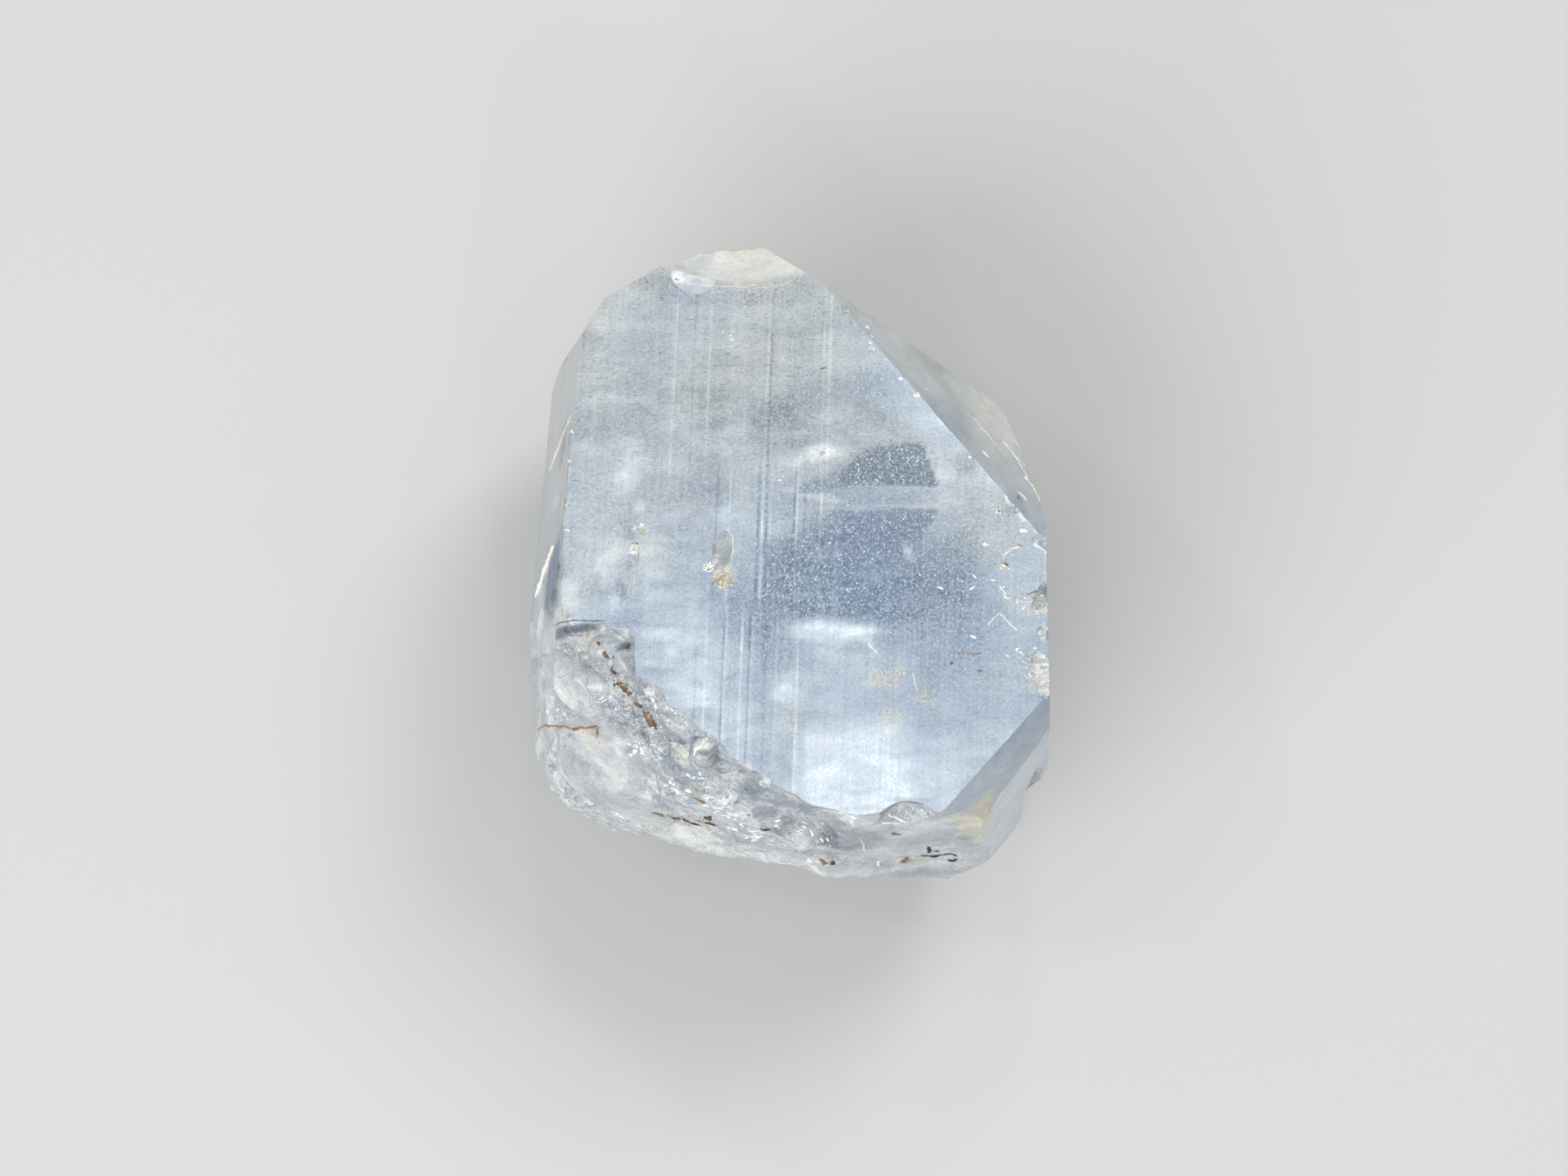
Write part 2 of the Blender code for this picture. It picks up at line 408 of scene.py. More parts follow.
# Breaks and chips taken out of the faces: deepest point in millimetres, azimuth and dip of the way each
# one opens, turn of its length, its three radii, and how much its surface wanders.
HOLLOWS = {
    "tip_break": ((-2.41, 15.2, 19.43), 90.0, 36.9, 0.0, (9.0, 9.0, 9.0), 0.16),
    "tip_flake": ((-5.1, 14.0, 20.74), 100.0, 6.0, -32.0, (2.37, 1.96, 1.6), 0.01),
    "ledge": ((-10.28, -7.81, 19.75), -90.0, 0.0, 0.0, (2.5, 2.3, 2.3), 0.2),
    "ledge_corner": ((-12.3, -6.4, 19.7), 180.0, 30.0, 0.0, (1.4, 0.9, 1.3), 0.1),
    "fan": ((-7.9, -10.3, 19.85), -130.0, 12.0, 0.0, (2.2, 2.4, 2.6), 0.14),
    "valley": ((-7.4, -10.3, 18.05), -130.0, 55.0, -36.0, (4.9, 1.6, 1.7), 0.28),
    "lump_gap": ((-12.2, -10.35, 14.55), -140.0, 62.0, 8.0, (2.6, 0.7, 0.9), 0.08),
    "nook": ((-3.8, -13.25, 19.3), -110.0, 30.0, 0.0, (1.3, 1.1, 1.3), 0.1),
    "apron_west": ((-3.6, -14.1, 17.3), -118.0, 72.0, 12.0, (3.6, 2.6, 3.4), 0.28),
    "apron_east": ((0.4, -15.25, 16.6), -104.0, 76.0, 8.0, (4.2, 3.4, 4.2), 0.28),
    "apron_low": ((2.6, -16.55, 13.6), -98.0, 88.0, 4.0, (4.0, 2.4, 3.0), 0.2),
    "half_moon": ((6.45, -16.2, 19.4), -88.0, 40.0, 0.0, (1.9, 1.75, 1.75), 0.02),
    "base_notch": ((6.95, -16.75, 12.4), -90.0, 82.0, 0.0, (0.55, 0.95, 0.75), 0.08),
    "base_shell": ((9.3, -16.5, 15.0), -76.0, 74.0, 0.0, (2.8, 1.75, 3.2), 0.12),
    "corner_step": ((13.08, -12.88, 11.0), -40.0, 80.0, 84.0, (4.4, 1.2, 1.9), 0.06),
    "right_chip_a": ((13.45, -4.65, 20.68), 0.0, 34.0, 0.0, (1.05, 0.6, 0.6), 0.1),
    "right_chip_b": ((13.35, -8.6, 20.66), 5.0, 30.0, 0.0, (1.35, 0.75, 0.7), 0.1),
    "right_chip_c": ((13.7, -6.6, 20.6), 5.0, 44.0, 0.0, (0.75, 0.4, 0.5), 0.1),
    "right_chip_d": ((13.75, -1.4, 20.75), 5.0, 38.0, 0.0, (0.6, 0.45, 0.5), 0.1),
    "bevel_chip_a": ((3.05, 12.25, 20.7), 45.0, 20.0, 0.0, (0.55, 0.4, 0.5), 0.06),
    "bevel_chip_b": ((4.05, 11.45, 20.72), 45.0, 20.0, 0.0, (0.45, 0.35, 0.45), 0.06),
    "toe_west": ((-9.6, -14.62, 10.8), -108.0, 92.0, 0.0, (1.5, 1.2, 1.3), 0.14),
    "toe_east": ((-2.3, -16.35, 10.9), -104.0, 94.0, 0.0, (2.2, 1.6, 2.0), 0.14),
    "gas_bubble": ((-3.42, -1.66, 20.82), 0.0, 0.0, -12.0, (1.75, 0.85, 0.5), 0.01),
    "crust_pit": ((-3.5, -3.3, 20.84), 0.0, 0.0, 20.0, (0.8, 0.45, 0.45), 0.05),
    "west_pit_a": ((-7.93, -0.36, 20.8), 0.0, 0.0, 60.0, (0.34, 0.26, 0.3), 0.05),
    "west_pit_b": ((-8.16, -1.35, 20.85), 0.0, 0.0, 0.0, (0.28, 0.22, 0.3), 0.04),
    "red_pit": ((1.94, 3.77, 20.86), 0.0, 0.0, 0.0, (0.26, 0.22, 0.28), 0.03),
}

# Farther, in metres, than any ray runs in the crystal, and the least slope that counts as meeting a face.
FAR = 1.0
LEAST_SLOPE = 1e-4

# Hollows whose surface wanders less than this, in millimetres, have clean rims.
SMOOTH = 0.03

# How milky each break is, how much of it glitters, and how high its chips stand in millimetres. Glitter
# brings painted glints, dark lines of painted shade and painted facet tones, as well as sharper gloss and
# deeper bumps. Breaks that aren't listed take the last line.
BREAK_LOOKS = {
    "broken_lumps": (0.74, 0.06, 0.02),
    "glass_knobs": (0.66, 0.05, 0.01),
    "base_right": (0.71, 0.05, 0.02),
    "base": (0.7, 0.08, 0.03),
    "base_left": (0.74, 0.3, 0.08),
    "corner_west": (0.76, 0.12, 0.06),
    "corner": (0.7, 0.4, 0.12),
    "tip_break": (0.93, 0.02, 0.01),
    "tip_flake": (0.8, 0.0, 0.0),
    "ledge": (0.68, 0.1, 0.02),
    "ledge_corner": (0.6, 0.3, 0.04),
    "fan": (0.7, 0.35, 0.1),
    "valley": (0.64, 0.6, 0.18),
    "lump_gap": (0.6, 0.6, 0.12),
    "nook": (0.6, 0.5, 0.1),
    "apron_west": (0.68, 0.7, 0.15),
    "apron_east": (0.64, 0.3, 0.06),
    "apron_low": (0.74, 0.15, 0.05),
    "half_moon": (0.66, 0.4, 0.02),
    "base_shell": (0.62, 0.1, 0.03),
    "gas_bubble": (0.56, 0.0, 0.0),
    "right_chip_a": (0.82, 0.5, 0.08),
    "right_chip_b": (0.8, 0.5, 0.08),
    "crust_pit": (0.7, 0.2, 0.04),
    "other": (0.76, 0.3, 0.06),
}
SOLID_POINTS = np.array([v.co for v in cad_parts[NODE].data.vertices])
STRIATED = ("upper_prism", "rest_prism", "left_prism", "right_prism")
OWNERS = list(NATURAL_FACES) + ["broken_lumps"] + list(BROKEN_FACES) + list(HOLLOWS) + ["glass_knobs"]


def break_look(name):
    return BREAK_LOOKS.get(name, BREAK_LOOKS["other"])


@functools.cache
def face_plane(azimuth, dip):
    """A face's outward direction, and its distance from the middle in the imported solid."""
    out = facing(azimuth, dip)
    return out, ((SOLID_POINTS - MIDDLE) @ out).max()


def plane_reach(rays, azimuth, dip, recess=0.0):
    """How far each ray from the middle runs to a face: the face's distance over the ray's slope
    towards it."""
    out, distance = face_plane(azimuth, dip)
    distance = distance - recess
    slope = rays @ out
    return np.where(slope > LEAST_SLOPE, distance / np.maximum(slope, LEAST_SLOPE), FAR)


def ellipsoid_reach(rays, middle, azimuth, dip, turn, radii, leaving):
    """Where each ray crosses an ellipsoid: the roots of a quadratic, after the ellipsoid is scaled to
    a unit ball. The first root is taken on the way in and the second on the way out; a miss is FAR in,
    0 out."""
    to_ball = axes_of(azimuth, dip, turn) / (np.array(radii)[:, None] * MM)
    start = to_ball @ (MIDDLE - np.array(middle) * MM)
    step = rays @ to_ball.T
    a = (step * step).sum(1)
    b = step @ start
    c = start @ start - 1.0
    inside = b * b - a * c
    root = np.sqrt(np.maximum(inside, 0.0))
    if leaving:
        return np.where(inside > 0.0, np.maximum((root - b) / a, 0.0), 0.0)
    near = (-b - root) / a
    return np.where((inside > 0.0) & (near > 0.0), near, FAR)


def hollow_reach(rays, bottom, azimuth, dip, turn, radii):
    """Where each ray runs into a hollow: an ellipsoid with its middle one radius out of its deepest
    point, along the way that it opens."""
    middle = np.array(bottom) + facing(azimuth, dip) * radii[2]
    return ellipsoid_reach(rays, middle, azimuth, dip, turn, radii, leaving=False)


def warped(rays):
    """Rays pushed sideways by two sizes of noise, which makes the rims and walls of the breaks ragged."""
    at = rays * 12.0 * MM
    wide = np.stack([noise_at(at, 1.7 * MM, 21 + k) for k in range(3)], axis=1)
    fine = np.stack([noise_at(at, 0.55 * MM, 31 + k) for k in range(3)], axis=1)
    return unit(rays + (0.03 * wide + 0.012 * fine))


# Growth striations: width and depth in millimetres, and the seed of each size of noise. They are drawn
# out along the prism.
GROWTH = ((1.35, 0.018, 41), (0.62, 0.012, 42), (0.4, 0.006, 43))
GROWTH_LENGTH = 26.0

# The wide terrace left of the middle: where its step rises across the prism, where it ends along it, and
# its depth, in millimetres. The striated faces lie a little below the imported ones.
TERRACE_STEP = (7.85, 8.05)
TERRACE_END = (-5.4, -4.6)
TERRACE_DEPTH = 0.03
GROWTH_BELOW = 0.05


def growth_relief(points):
    """Depth of the growth striations in metres: noise drawn out along the prism axis, in three widths,
    with one wide terrace that ends at a step left of the middle."""
    across, along = prism_place(points)
    drawn = np.stack([across, along / GROWTH_LENGTH, points[:, 2] / MM], axis=1)
    depth = sum(deep * noise_at(drawn, width, seed) for width, deep, seed in GROWTH)
    terrace = rise(-across, *TERRACE_STEP) * rise(along, *TERRACE_END)
    return (depth - GROWTH_BELOW - TERRACE_DEPTH * terrace) * MM


def swell_relief(points):
    """Height of the broken surfaces' swells, between about -1 and 1."""
    return 0.7 * noise_at(points, 2.1 * MM, 3) + 0.3 * noise_at(points, 0.8 * MM, 5)


def chip_relief(points):
    """Height of the chips on the breaks: plates in three sizes, drawn out from side to side."""
    torn = drifted(points, 1.2 * MM, 0.35 * MM, 11) * np.array([0.62, 1.0, 1.0])
    plates = 0.6 * plates_at(torn, 1.3 * MM, 7) + 0.45 * plates_at(torn, 0.6 * MM, 17)
    return plates + 0.22 * plates_at(torn, 0.3 * MM, 27)


def reach_all(rays):
    """Reach of every face, break and hollow along each ray, and how far each of them swells in and
    out."""
    rows = [plane_reach(rays, face[0], face[1]) for face in NATURAL_FACES.values()]
    rough = warped(rays)
    swell = [0.0] * len(rows)
    broken = [plane_reach(rough, a, d, recess * MM) for a, d, recess, _ in BROKEN_FACES.values()]
    shell = np.min([plane_reach(rays, a, d) for a, d, _, _ in BROKEN_FACES.values()], axis=0)
    base = np.min(broken, axis=0)
    lumps = [ellipsoid_reach(rough, *lump, leaving=True) for lump in LUMPS.values()]
    domes = np.minimum(np.max(lumps, axis=0), shell)
    rows.append(np.where(domes > base, domes, FAR))
    swell.append(0.1)
    for row, (_, _, _, spread) in zip(broken, BROKEN_FACES.values()):
        rows.append(np.where(domes > base, FAR, row))
        swell.append(spread)
    for bottom, azimuth, dip, turn, radii, spread in HOLLOWS.values():
        rows.append(hollow_reach(rays if spread < SMOOTH else rough, bottom, azimuth, dip, turn, radii))
        swell.append(spread)
    knobs = np.max([ellipsoid_reach(rays, *knob, leaving=True) for knob in KNOBS.values()], axis=0)
    taken = np.array(rows[len(NATURAL_FACES):])
    rows[len(NATURAL_FACES):] = list(np.where(knobs > taken, FAR, taken))
    rows.append(np.where(knobs > taken.min(0), knobs, FAR))
    swell.append(0.02)
    return np.array(rows), np.array(swell) * MM


CHIP_HEIGHT = np.array([0.0 if name in NATURAL_FACES else break_look(name)[2] for name in OWNERS]) * MM

# Swells and chips are only worked out this near a break, and are cut off at these shares of their height.
NEAR_BREAK = 0.8 * MM
HIGHEST_SWELL = 0.5
HIGHEST_CHIP = 0.4

# The strength of the noise that wears edges back, and the size of its clouds.
WORN_DEPTH = 0.2 * MM
WORN_SIZE = 0.75 * MM


def crystal_reach(rays):
    """Length of each ray inside the crystal, and the face that stops it. The striated faces carry
    their growth relief and the breaks their swells and chips, and an edge between two faces is worn
    back here and there."""
    rows, swell = reach_all(rays)
    plain = MIDDLE + rays * rows.min(0)[:, None]
    near_break = rows[len(NATURAL_FACES):].min(0) < rows.min(0) + NEAR_BREAK
    swells = np.zeros(len(rays))
    chips = np.zeros(len(rays))
    swells[near_break] = np.minimum(swell_relief(plain[near_break]), HIGHEST_SWELL)
    chips[near_break] = np.minimum(chip_relief(plain[near_break]), HIGHEST_CHIP)
    rows = rows + swell[:, None] * swells + CHIP_HEIGHT[:, None] * chips
    growth = growth_relief(plain)
    for index, name in enumerate(NATURAL_FACES):
        if name in STRIATED:
            rows[index] = rows[index] + growth
    owner = rows.argmin(0)
    nearest = np.partition(rows, 1, axis=0)
    worn = WORN_DEPTH * np.clip(cloud_at(plain, WORN_SIZE, 51) - 0.25, 0.0, 1.0)
    return nearest[0] - 0.6 * np.maximum(worn - (nearest[1] - nearest[0]), 0.0), owner


# A slanting direction that gives every ray a side, and the step from a ray that its normal is taken over.
SLANT = np.array([0.31, 0.17, 0.93])
SIDE_STEP = 0.01


def on_skin(points):
    """Points moved onto the crystal's surface along the rays from its middle, and the outward normals
    there, from the cross product of two short steps over the surface."""
    rays = unit(points - MIDDLE)
    side = unit(np.cross(rays, SLANT)) * SIDE_STEP
    other = np.cross(rays, side)
    around = unit(np.concatenate([rays, rays + side, rays - side, rays + other, rays - other]))
    places = (around * crystal_reach(around)[0][:, None]).reshape(5, -1, 3)
    return MIDDLE + places[0], unit(np.cross(places[1] - places[2], places[3] - places[4]))


# --------------------------------------------------------------------------------------------------
# The crystal's skin
# --------------------------------------------------------------------------------------------------

# Cells along each side of the box, and how strongly they crowd towards the breaks.
GRID = (152, 180, 60)
CROWDING = (0.28, 0.42, -0.25)

# How often a grid line is halved to find where it crosses a crease.
HALVINGS = 10

# Patches of the upper face that are clearer (below 0) or milkier (above 0) than the rest: middle and radii
# in millimetres, turn in degrees, strength, and how soft the edge is, from 0 to 1. The glows are painted
# light, internal reflections laid on as milky white. The shades are painted shade; those of the middle,
# left and right are the dark of what shows through the stone.
PATCHES = {
    "shade_middle": ((5.2, -2.7), (4.8, 3.0), 0.0, -0.42, 0.55),
    "shade_left": ((0.8, -3.7), (4.0, 2.4), 8.0, -0.27, 0.6),
    "shade_right": ((8.6, -5.4), (3.3, 2.6), -20.0, -0.13, 0.6),
    "upper_shade": ((2.8, 7.3), (4.3, 0.9), 14.0, -0.2, 0.7),
    "upper_shade_left": ((-0.6, 6.0), (1.5, 0.8), 45.0, -0.18, 0.6),
    "blue_chip": ((9.7, 3.5), (0.75, 0.65), -40.0, -0.2, 0.4),
    "low_blue": ((-1.5, -5.2), (2.3, 1.6), 0.0, -0.1, 0.8),
    "long_glow": ((2.5, -6.1), (2.5, 0.6), -4.0, 0.62, 0.6),
    "glow_end": ((4.7, -7.2), (0.3, 0.55), 30.0, 0.3, 0.5),
    "short_glow": ((0.1, -9.7), (0.95, 0.42), 6.0, 0.22, 0.6),
    "foot_glow": ((4.6, -15.4), (4.6, 4.0), 0.0, 0.16, 0.45),
    "west_glow": ((-8.5, 3.1), (0.75, 1.4), -20.0, 0.22, 0.7),
    "west_fleck": ((-8.0, 1.0), (0.33, 0.4), 0.0, 0.22, 0.5),
    "mid_glow": ((-2.5, 0.5), (1.15, 0.5), 0.0, 0.22, 0.6),
    "west_blue_a": ((-8.7, -0.55), (0.22, 0.5), 0.0, -0.16, 0.35),
    "west_blue_b": ((-8.55, -2.45), (0.28, 0.62), 0.0, -0.18, 0.3),
    "west_blue_c": ((-10.1, -3.25), (0.28, 0.46), 0.0, -0.18, 0.4),
    "west_blue_d": ((-8.95, -4.1), (0.24, 0.5), 0.0, -0.26, 0.4),
    "edge_glow_a": ((-11.7, -4.2), (0.5, 0.9), 0.0, 0.34, 0.6),
    "edge_glow_b": ((-9.7, -2.4), (0.6, 1.1), 0.0, 0.2, 0.7),
    "edge_glow_c": ((-9.3, -4.7), (0.5, 0.45), 0.0, 0.18, 0.7),
    "lamp_glow": ((1.3, 3.75), (1.6, 0.42), 4.0, 0.42, 0.5),
    "band_west": ((1.7, 1.32), (1.4, 0.22), -8.0, 0.26, 0.5),
    "east_blotch": ((8.8, 2.8), (0.47, 0.45), 0.0, 0.22, 0.6),
    "point_fleck": ((6.4, -1.7), (0.24, 0.7), 30.0, 0.6, 0.5),
    "point_haze": ((7.9, -0.8), (1.6, 0.75), 28.0, 0.1, 0.5),
    "south_west_haze": ((-5.3, -9.4), (2.45, 4.17), 8.0, 0.22, 0.8),
    "north_flecks": ((-2.9, 10.4), (0.66, 0.44), 0.0, 0.1, 0.8),
    "bubble_haze": ((-1.9, -3.1), (0.47, 1.47), -12.0, 0.12, 0.6),
    "south_glow": ((-1.5, -13.2), (2.6, 2.6), 0.0, 0.06, 0.7),
    "east_haze": ((9.8, 0.6), (2.8, 3.0), 0.0, 0.09, 0.8),
    "south_east": ((8.0, -12.6), (2.6, 2.6), 40.0, -0.04, 0.7),
    "north_east_shade": ((5.4, 6.9), (1.7, 1.3), -40.0, -0.17, 0.7),
    "east_shade": ((11.2, -1.0), (1.6, 1.5), 0.0, -0.12, 0.7),
    "east_low": ((11.8, -6.5), (1.5, 1.9), 0.0, 0.11, 0.7),
    "south_middle": ((1.8, -8.7), (2.3, 1.3), 0.0, 0.13, 0.7),
    "west_middle": ((-7.6, -2.1), (1.1, 2.1), 0.0, 0.19, 0.7),
    "south_west_glow": ((-5.8, -7.0), (2.0, 2.3), 0.0, 0.14, 0.8),
}

# Straight-edged windows in the upper face, where flat cracks show through: strength, then the corners in
# turn, clockwise, in millimetres, each with how soft the edge that starts there is.
WINDOWS = {
    "slate": (-0.62, ((4.2, 4.0, 0.3), (7.47, 4.5, 0.07), (8.27, 1.9, 0.07), (3.2, 2.24, 0.7))),
    "slate_tail": (-0.34, ((1.2, 2.3, 0.35), (3.9, 3.55, 0.3), (4.3, 2.15, 0.12), (0.2, 1.4, 0.4))),
    "band": (-0.12, ((0.9, 1.5, 0.15), (3.41, 2.14, 0.07), (8.36, 1.8, 0.08), (8.5, 0.77, 0.07),
                     (3.41, 0.72, 0.1), (0.9, 1.1, 0.2))),
    "band_edge": (0.22, ((3.6, 0.92, 0.08), (8.45, 0.98, 0.08), (8.5, 0.76, 0.06), (3.6, 0.66, 0.3))),
    # The foot window is painted light, the straight-edged part of the glow at the foot.
    "foot_window": (0.24, ((1.05, -11.3, 0.5), (5.6, -11.6, 0.8), (7.4, -17.0, 0.6),
                           (0.95, -17.0, 0.06))),
    "under_band": (-0.3, ((2.2, 0.62, 0.08), (8.41, 0.67, 0.1), (8.0, 0.05, 0.25), (6.6, -1.5, 0.9),
                          (3.6, -2.1, 1.0), (1.2, -0.8, 1.0))),
}

# Milky (above 0) and clear (below 0) spots on any face: middle and radii in millimetres, and strength. The
# apron shades, the half moon's rim, the knob's shade, the shade by the shard and the ledge slot are painted
# shade; the knob's highlight and the lump's shine are painted highlights; the low rim is painted light
# along the lower outline; the left lens and its top are a painted reflection of dark surroundings.
SPOTS = {
    "left_lens": ((-12.9, -2.55, 18.2), (1.6, 2.3, 3.0), -0.46),
    "left_lens_top": ((-12.35, -1.0, 20.2), (0.5, 1.4, 0.9), -0.3),
    "left_foot": ((-13.9, -2.9, 13.5), (0.9, 1.4, 3.0), 0.22),
    "left_streak": ((-12.85, 2.4, 16.4), (0.5, 0.6, 2.2), 0.26),
    "left_wedge": ((-12.55, 5.6, 17.0), (1.0, 1.6, 2.4), -0.26),
    "bevel_foot": ((12.3, 0.6, 20.3), (1.1, 1.7, 0.9), -0.12),
    "bevel_blue": ((9.7, 5.2, 19.9), (1.5, 1.8, 0.8), -0.05),
    "bevel_head": ((7.6, 8.6, 19.9), (1.6, 1.6, 0.9), 0.05),
    "apron_shade": ((1.3, -15.85, 19.5), (2.6, 1.1, 1.0), -0.13),
    "apron_shade_east": ((3.4, -16.6, 17.0), (2.2, 1.1, 2.6), -0.32),
    "apron_shade_west": ((-1.6, -14.8, 19.4), (1.8, 0.9, 1.0), -0.08),
    "half_moon_rim_shade": ((6.4, -15.55, 20.9), (1.4, 0.25, 0.3), -0.3),
    "knob_highlight": ((-4.5, -12.4, 20.7), (0.55, 0.3, 0.4), 0.35),
    "knob_shade": ((-4.3, -13.0, 20.6), (0.5, 0.32, 0.45), -0.45),
    "shard_shade": ((-8.6, -7.0, 20.5), (0.4, 0.26, 0.45), -0.45),
    "ledge_slot": ((-12.35, -6.05, 19.5), (0.6, 0.34, 0.85), -0.38),
    "ledge_slot_middle": ((-11.7, -5.98, 20.15), (0.7, 0.28, 0.6), -0.4),
    "ledge_slot_end": ((-10.9, -5.85, 20.6), (0.75, 0.2, 0.34), -0.42),
    "bevel_outer_light": ((11.0, 7.4, 17.0), (4.0, 4.5, 2.0), 0.12),
    "lump_shine": ((-12.2, -8.6, 17.2), (1.1, 1.2, 1.4), 0.1),
    "low_rim_light": ((-3.0, -17.0, 10.4), (12.0, 3.0, 1.4), 0.16),
}

# Violet hazes in the upper face: middle and radii in millimetres, turn in degrees and strength.
VIOLETS = {
    "violet_middle": ((4.9, -2.2), (2.3, 2.9), 0.0, 0.34),
    "violet_under_band": ((4.6, -0.3), (2.2, 1.1), 0.0, 0.18),
    "tip_flake_blue": ((-5.2, 13.6), (0.9, 0.55), -22.0, 0.34),
    "violet_foot": ((5.0, -13.5), (3.5, 4.0), 0.0, 0.22),
}

# Yellow iron tints: middle in millimetres, radius and strength.
TINTS = {
    "lamp_tint": ((2.3, 3.7, 21.0), 0.5, 0.16),
    "south_crust_a": ((5.2, -8.9, 21.0), 0.95, 0.7),
    "south_crust_b": ((6.1, -8.4, 21.0), 0.45, 0.8),
    "south_crust_c": ((7.5, -9.9, 21.0), 0.75, 0.55),
    "south_crust_d": ((5.6, -10.9, 21.0), 0.85, 0.55),
    "south_crust_e": ((0.4, -11.3, 21.0), 0.8, 0.35),
    "bevel_window": ((10.2, -15.8, 18.5), 1.45, 1.0),
    "bevel_window_low": ((10.4, -16.15, 17.3), 1.2, 0.85),
    "bevel_window_east": ((10.9, -15.5, 18.8), 1.0, 0.85),
    "bevel_beige": ((11.6, 5.8, 18.0), 2.4, 0.2),
    "bevel_edge_beige": ((11.0, 8.2, 17.0), 1.4, 0.3),
    "bevel_crack_glow": ((12.2, 4.5, 18.8), 0.55, 0.45),
    "rust_fill": ((-11.05, -10.65, 15.5), 0.75, 0.6),
    "rust_fill_east": ((-10.3, -11.3, 15.9), 0.6, 0.4),
    "ledge_brown": ((-10.6, -6.5, 20.4), 0.9, 0.5),
    "valley_olive_a": ((-6.0, -12.8, 18.6), 1.2, 0.45),
    "valley_olive_b": ((-4.7, -14.5, 16.4), 0.9, 0.5),
    "valley_north": ((-8.4, -8.6, 19.0), 1.6, 0.3),
    "crust_brown": ((-3.4, -3.2, 20.9), 0.75, 0.95),
    "tip_beige": ((-1.5, 15.2, 19.6), 3.6, 0.28),
    "tip_olive": ((-2.2, 16.1, 19.1), 1.5, 0.42),
    "foot_beige": ((-6.5, -14.8, 11.5), 3.0, 0.22),
    "base_knob": ((7.25, -17.0, 10.9), 0.75, 0.6),
    "block_beige": ((6.8, -16.8, 11.8), 1.4, 0.4),
    "east_edge": ((13.2, -5.0, 20.6), 1.3, 0.36),
    "east_edge_low": ((13.2, -8.4, 20.7), 1.3, 0.32),
    "west_cream": ((-11.7, -3.9, 21.0), 1.5, 0.34),
    "apron_olive": ((3.1, -16.6, 17.6), 1.8, 0.26),
    "bevel_window_foot": ((10.3, -16.5, 15.8), 1.45, 0.8),
    "west_warm": ((-9.6, -1.6, 21.0), 3.4, 0.26),
    "east_warm": ((11.3, -0.8, 21.0), 2.4, 0.26),
}


def box_lattice(counts):
    """Points and quads of six two-parameter grids over a box's sides, welded where the sides meet."""
    points = []
    quads = []
    offset = 0
    for across, up, through in ((0, 1, 2), (1, 2, 0), (2, 0, 1)):
        for end in (0, 1):
            u, v = np.meshgrid(np.arange(counts[across] + 1), np.arange(counts[up] + 1), indexing="ij")
            side = np.zeros(u.shape + (3,), np.int64)
            side[..., across] = u
            side[..., up] = v
            side[..., through] = end * counts[through]
            index = offset + np.arange(u.size).reshape(u.shape)
            corners = (index[:-1, :-1], index[1:, :-1], index[1:, 1:], index[:-1, 1:])
            order = corners if end else corners[::-1]
            quads.append(np.stack([c.ravel() for c in order], axis=1))
            points.append(side.reshape(-1, 3))
            offset += u.size
    points = np.concatenate(points)
    spot = points[:, 0] + (counts[0] + 1) * (points[:, 1] + (counts[1] + 1) * points[:, 2])
    _, first, same = np.unique(spot, return_index=True, return_inverse=True)
    return points[first], same[np.concatenate(quads)]


def grid_rays():
    """A ray through each lattice point of a box of the crystal's size, turned to run along the prism
    axis. The points crowd towards one end of each side, s + c s(s - 1), where the breaks are."""
    lattice, quads = box_lattice(GRID)
    half = (np.array(HIGH) - np.array(LOW)) / 2.0
    share = lattice / np.array(GRID)
    share = share + np.array(CROWDING) * share * (share - 1.0)
    place = (share * 2.0 - 1.0) * half
    c, s = math.cos(PRISM_TURN), math.sin(PRISM_TURN)
    east = c * place[:, 0] + s * place[:, 1]
    north = c * place[:, 1] - s * place[:, 0]
    return unit(np.stack([east, north, place[:, 2]], axis=1)), quads


def snap_to_creases(rays, quads):
    """Move rays onto the lines where two faces meet: each grid line that crosses one is halved again
    and again to find the meeting point, and its nearer end goes there. Returns the rays and which of
    them moved."""
    _, owner = crystal_reach(rays)
    lines = np.concatenate([quads[:, [0, 1]], quads[:, [1, 2]], quads[:, [2, 3]], quads[:, [3, 0]]])
    lines = np.unique(np.sort(lines, axis=1), axis=0)
    lines = lines[owner[lines[:, 0]] != owner[lines[:, 1]]]
    start = rays[lines[:, 0]]
    end = rays[lines[:, 1]]
    low = start.copy()
    high = end.copy()
    for _ in range(HALVINGS):
        middle = unit(low + high)
        _, found = crystal_reach(middle)
        stays = (found == owner[lines[:, 0]])[:, None]
        low = np.where(stays, middle, low)
        high = np.where(stays, high, middle)
    meeting = unit(low + high)
    share = np.linalg.norm(meeting - start, axis=1) / np.linalg.norm(end - start, axis=1)
    vertex = np.where(share < 0.5, lines[:, 0], lines[:, 1])
    away = np.minimum(share, 1.0 - share)
    order = np.argsort(-away)
    snapped = rays.copy()
    snapped[vertex[order]] = meeting[order]
    moved = np.zeros(len(rays), bool)
    moved[vertex] = True
    return snapped, moved


def split_quads(quads, moved):
    """Two triangles from each quad, cut along the diagonal that joins two corners on a crease."""
    first = moved[quads[:, 0]] & moved[quads[:, 2]]
    second = moved[quads[:, 1]] & moved[quads[:, 3]]
    turned = np.where((second & ~first)[:, None], np.roll(quads, -1, axis=1), quads)
    return np.concatenate([turned[:, [0, 1, 2]], turned[:, [0, 2, 3]]])


def prism_place(points):
    """Millimetres across and along the prism axis."""
    c, s = math.cos(PRISM_TURN), math.sin(PRISM_TURN)
    return (points[:, 0] * c - points[:, 1] * s) / MM, (points[:, 0] * s + points[:, 1] * c) / MM


# Edges that turn by more than these, in degrees, are sharp: between two faces, and on a break.
CREASE_ANGLE = 8.0
CHIP_ANGLE = 24.0


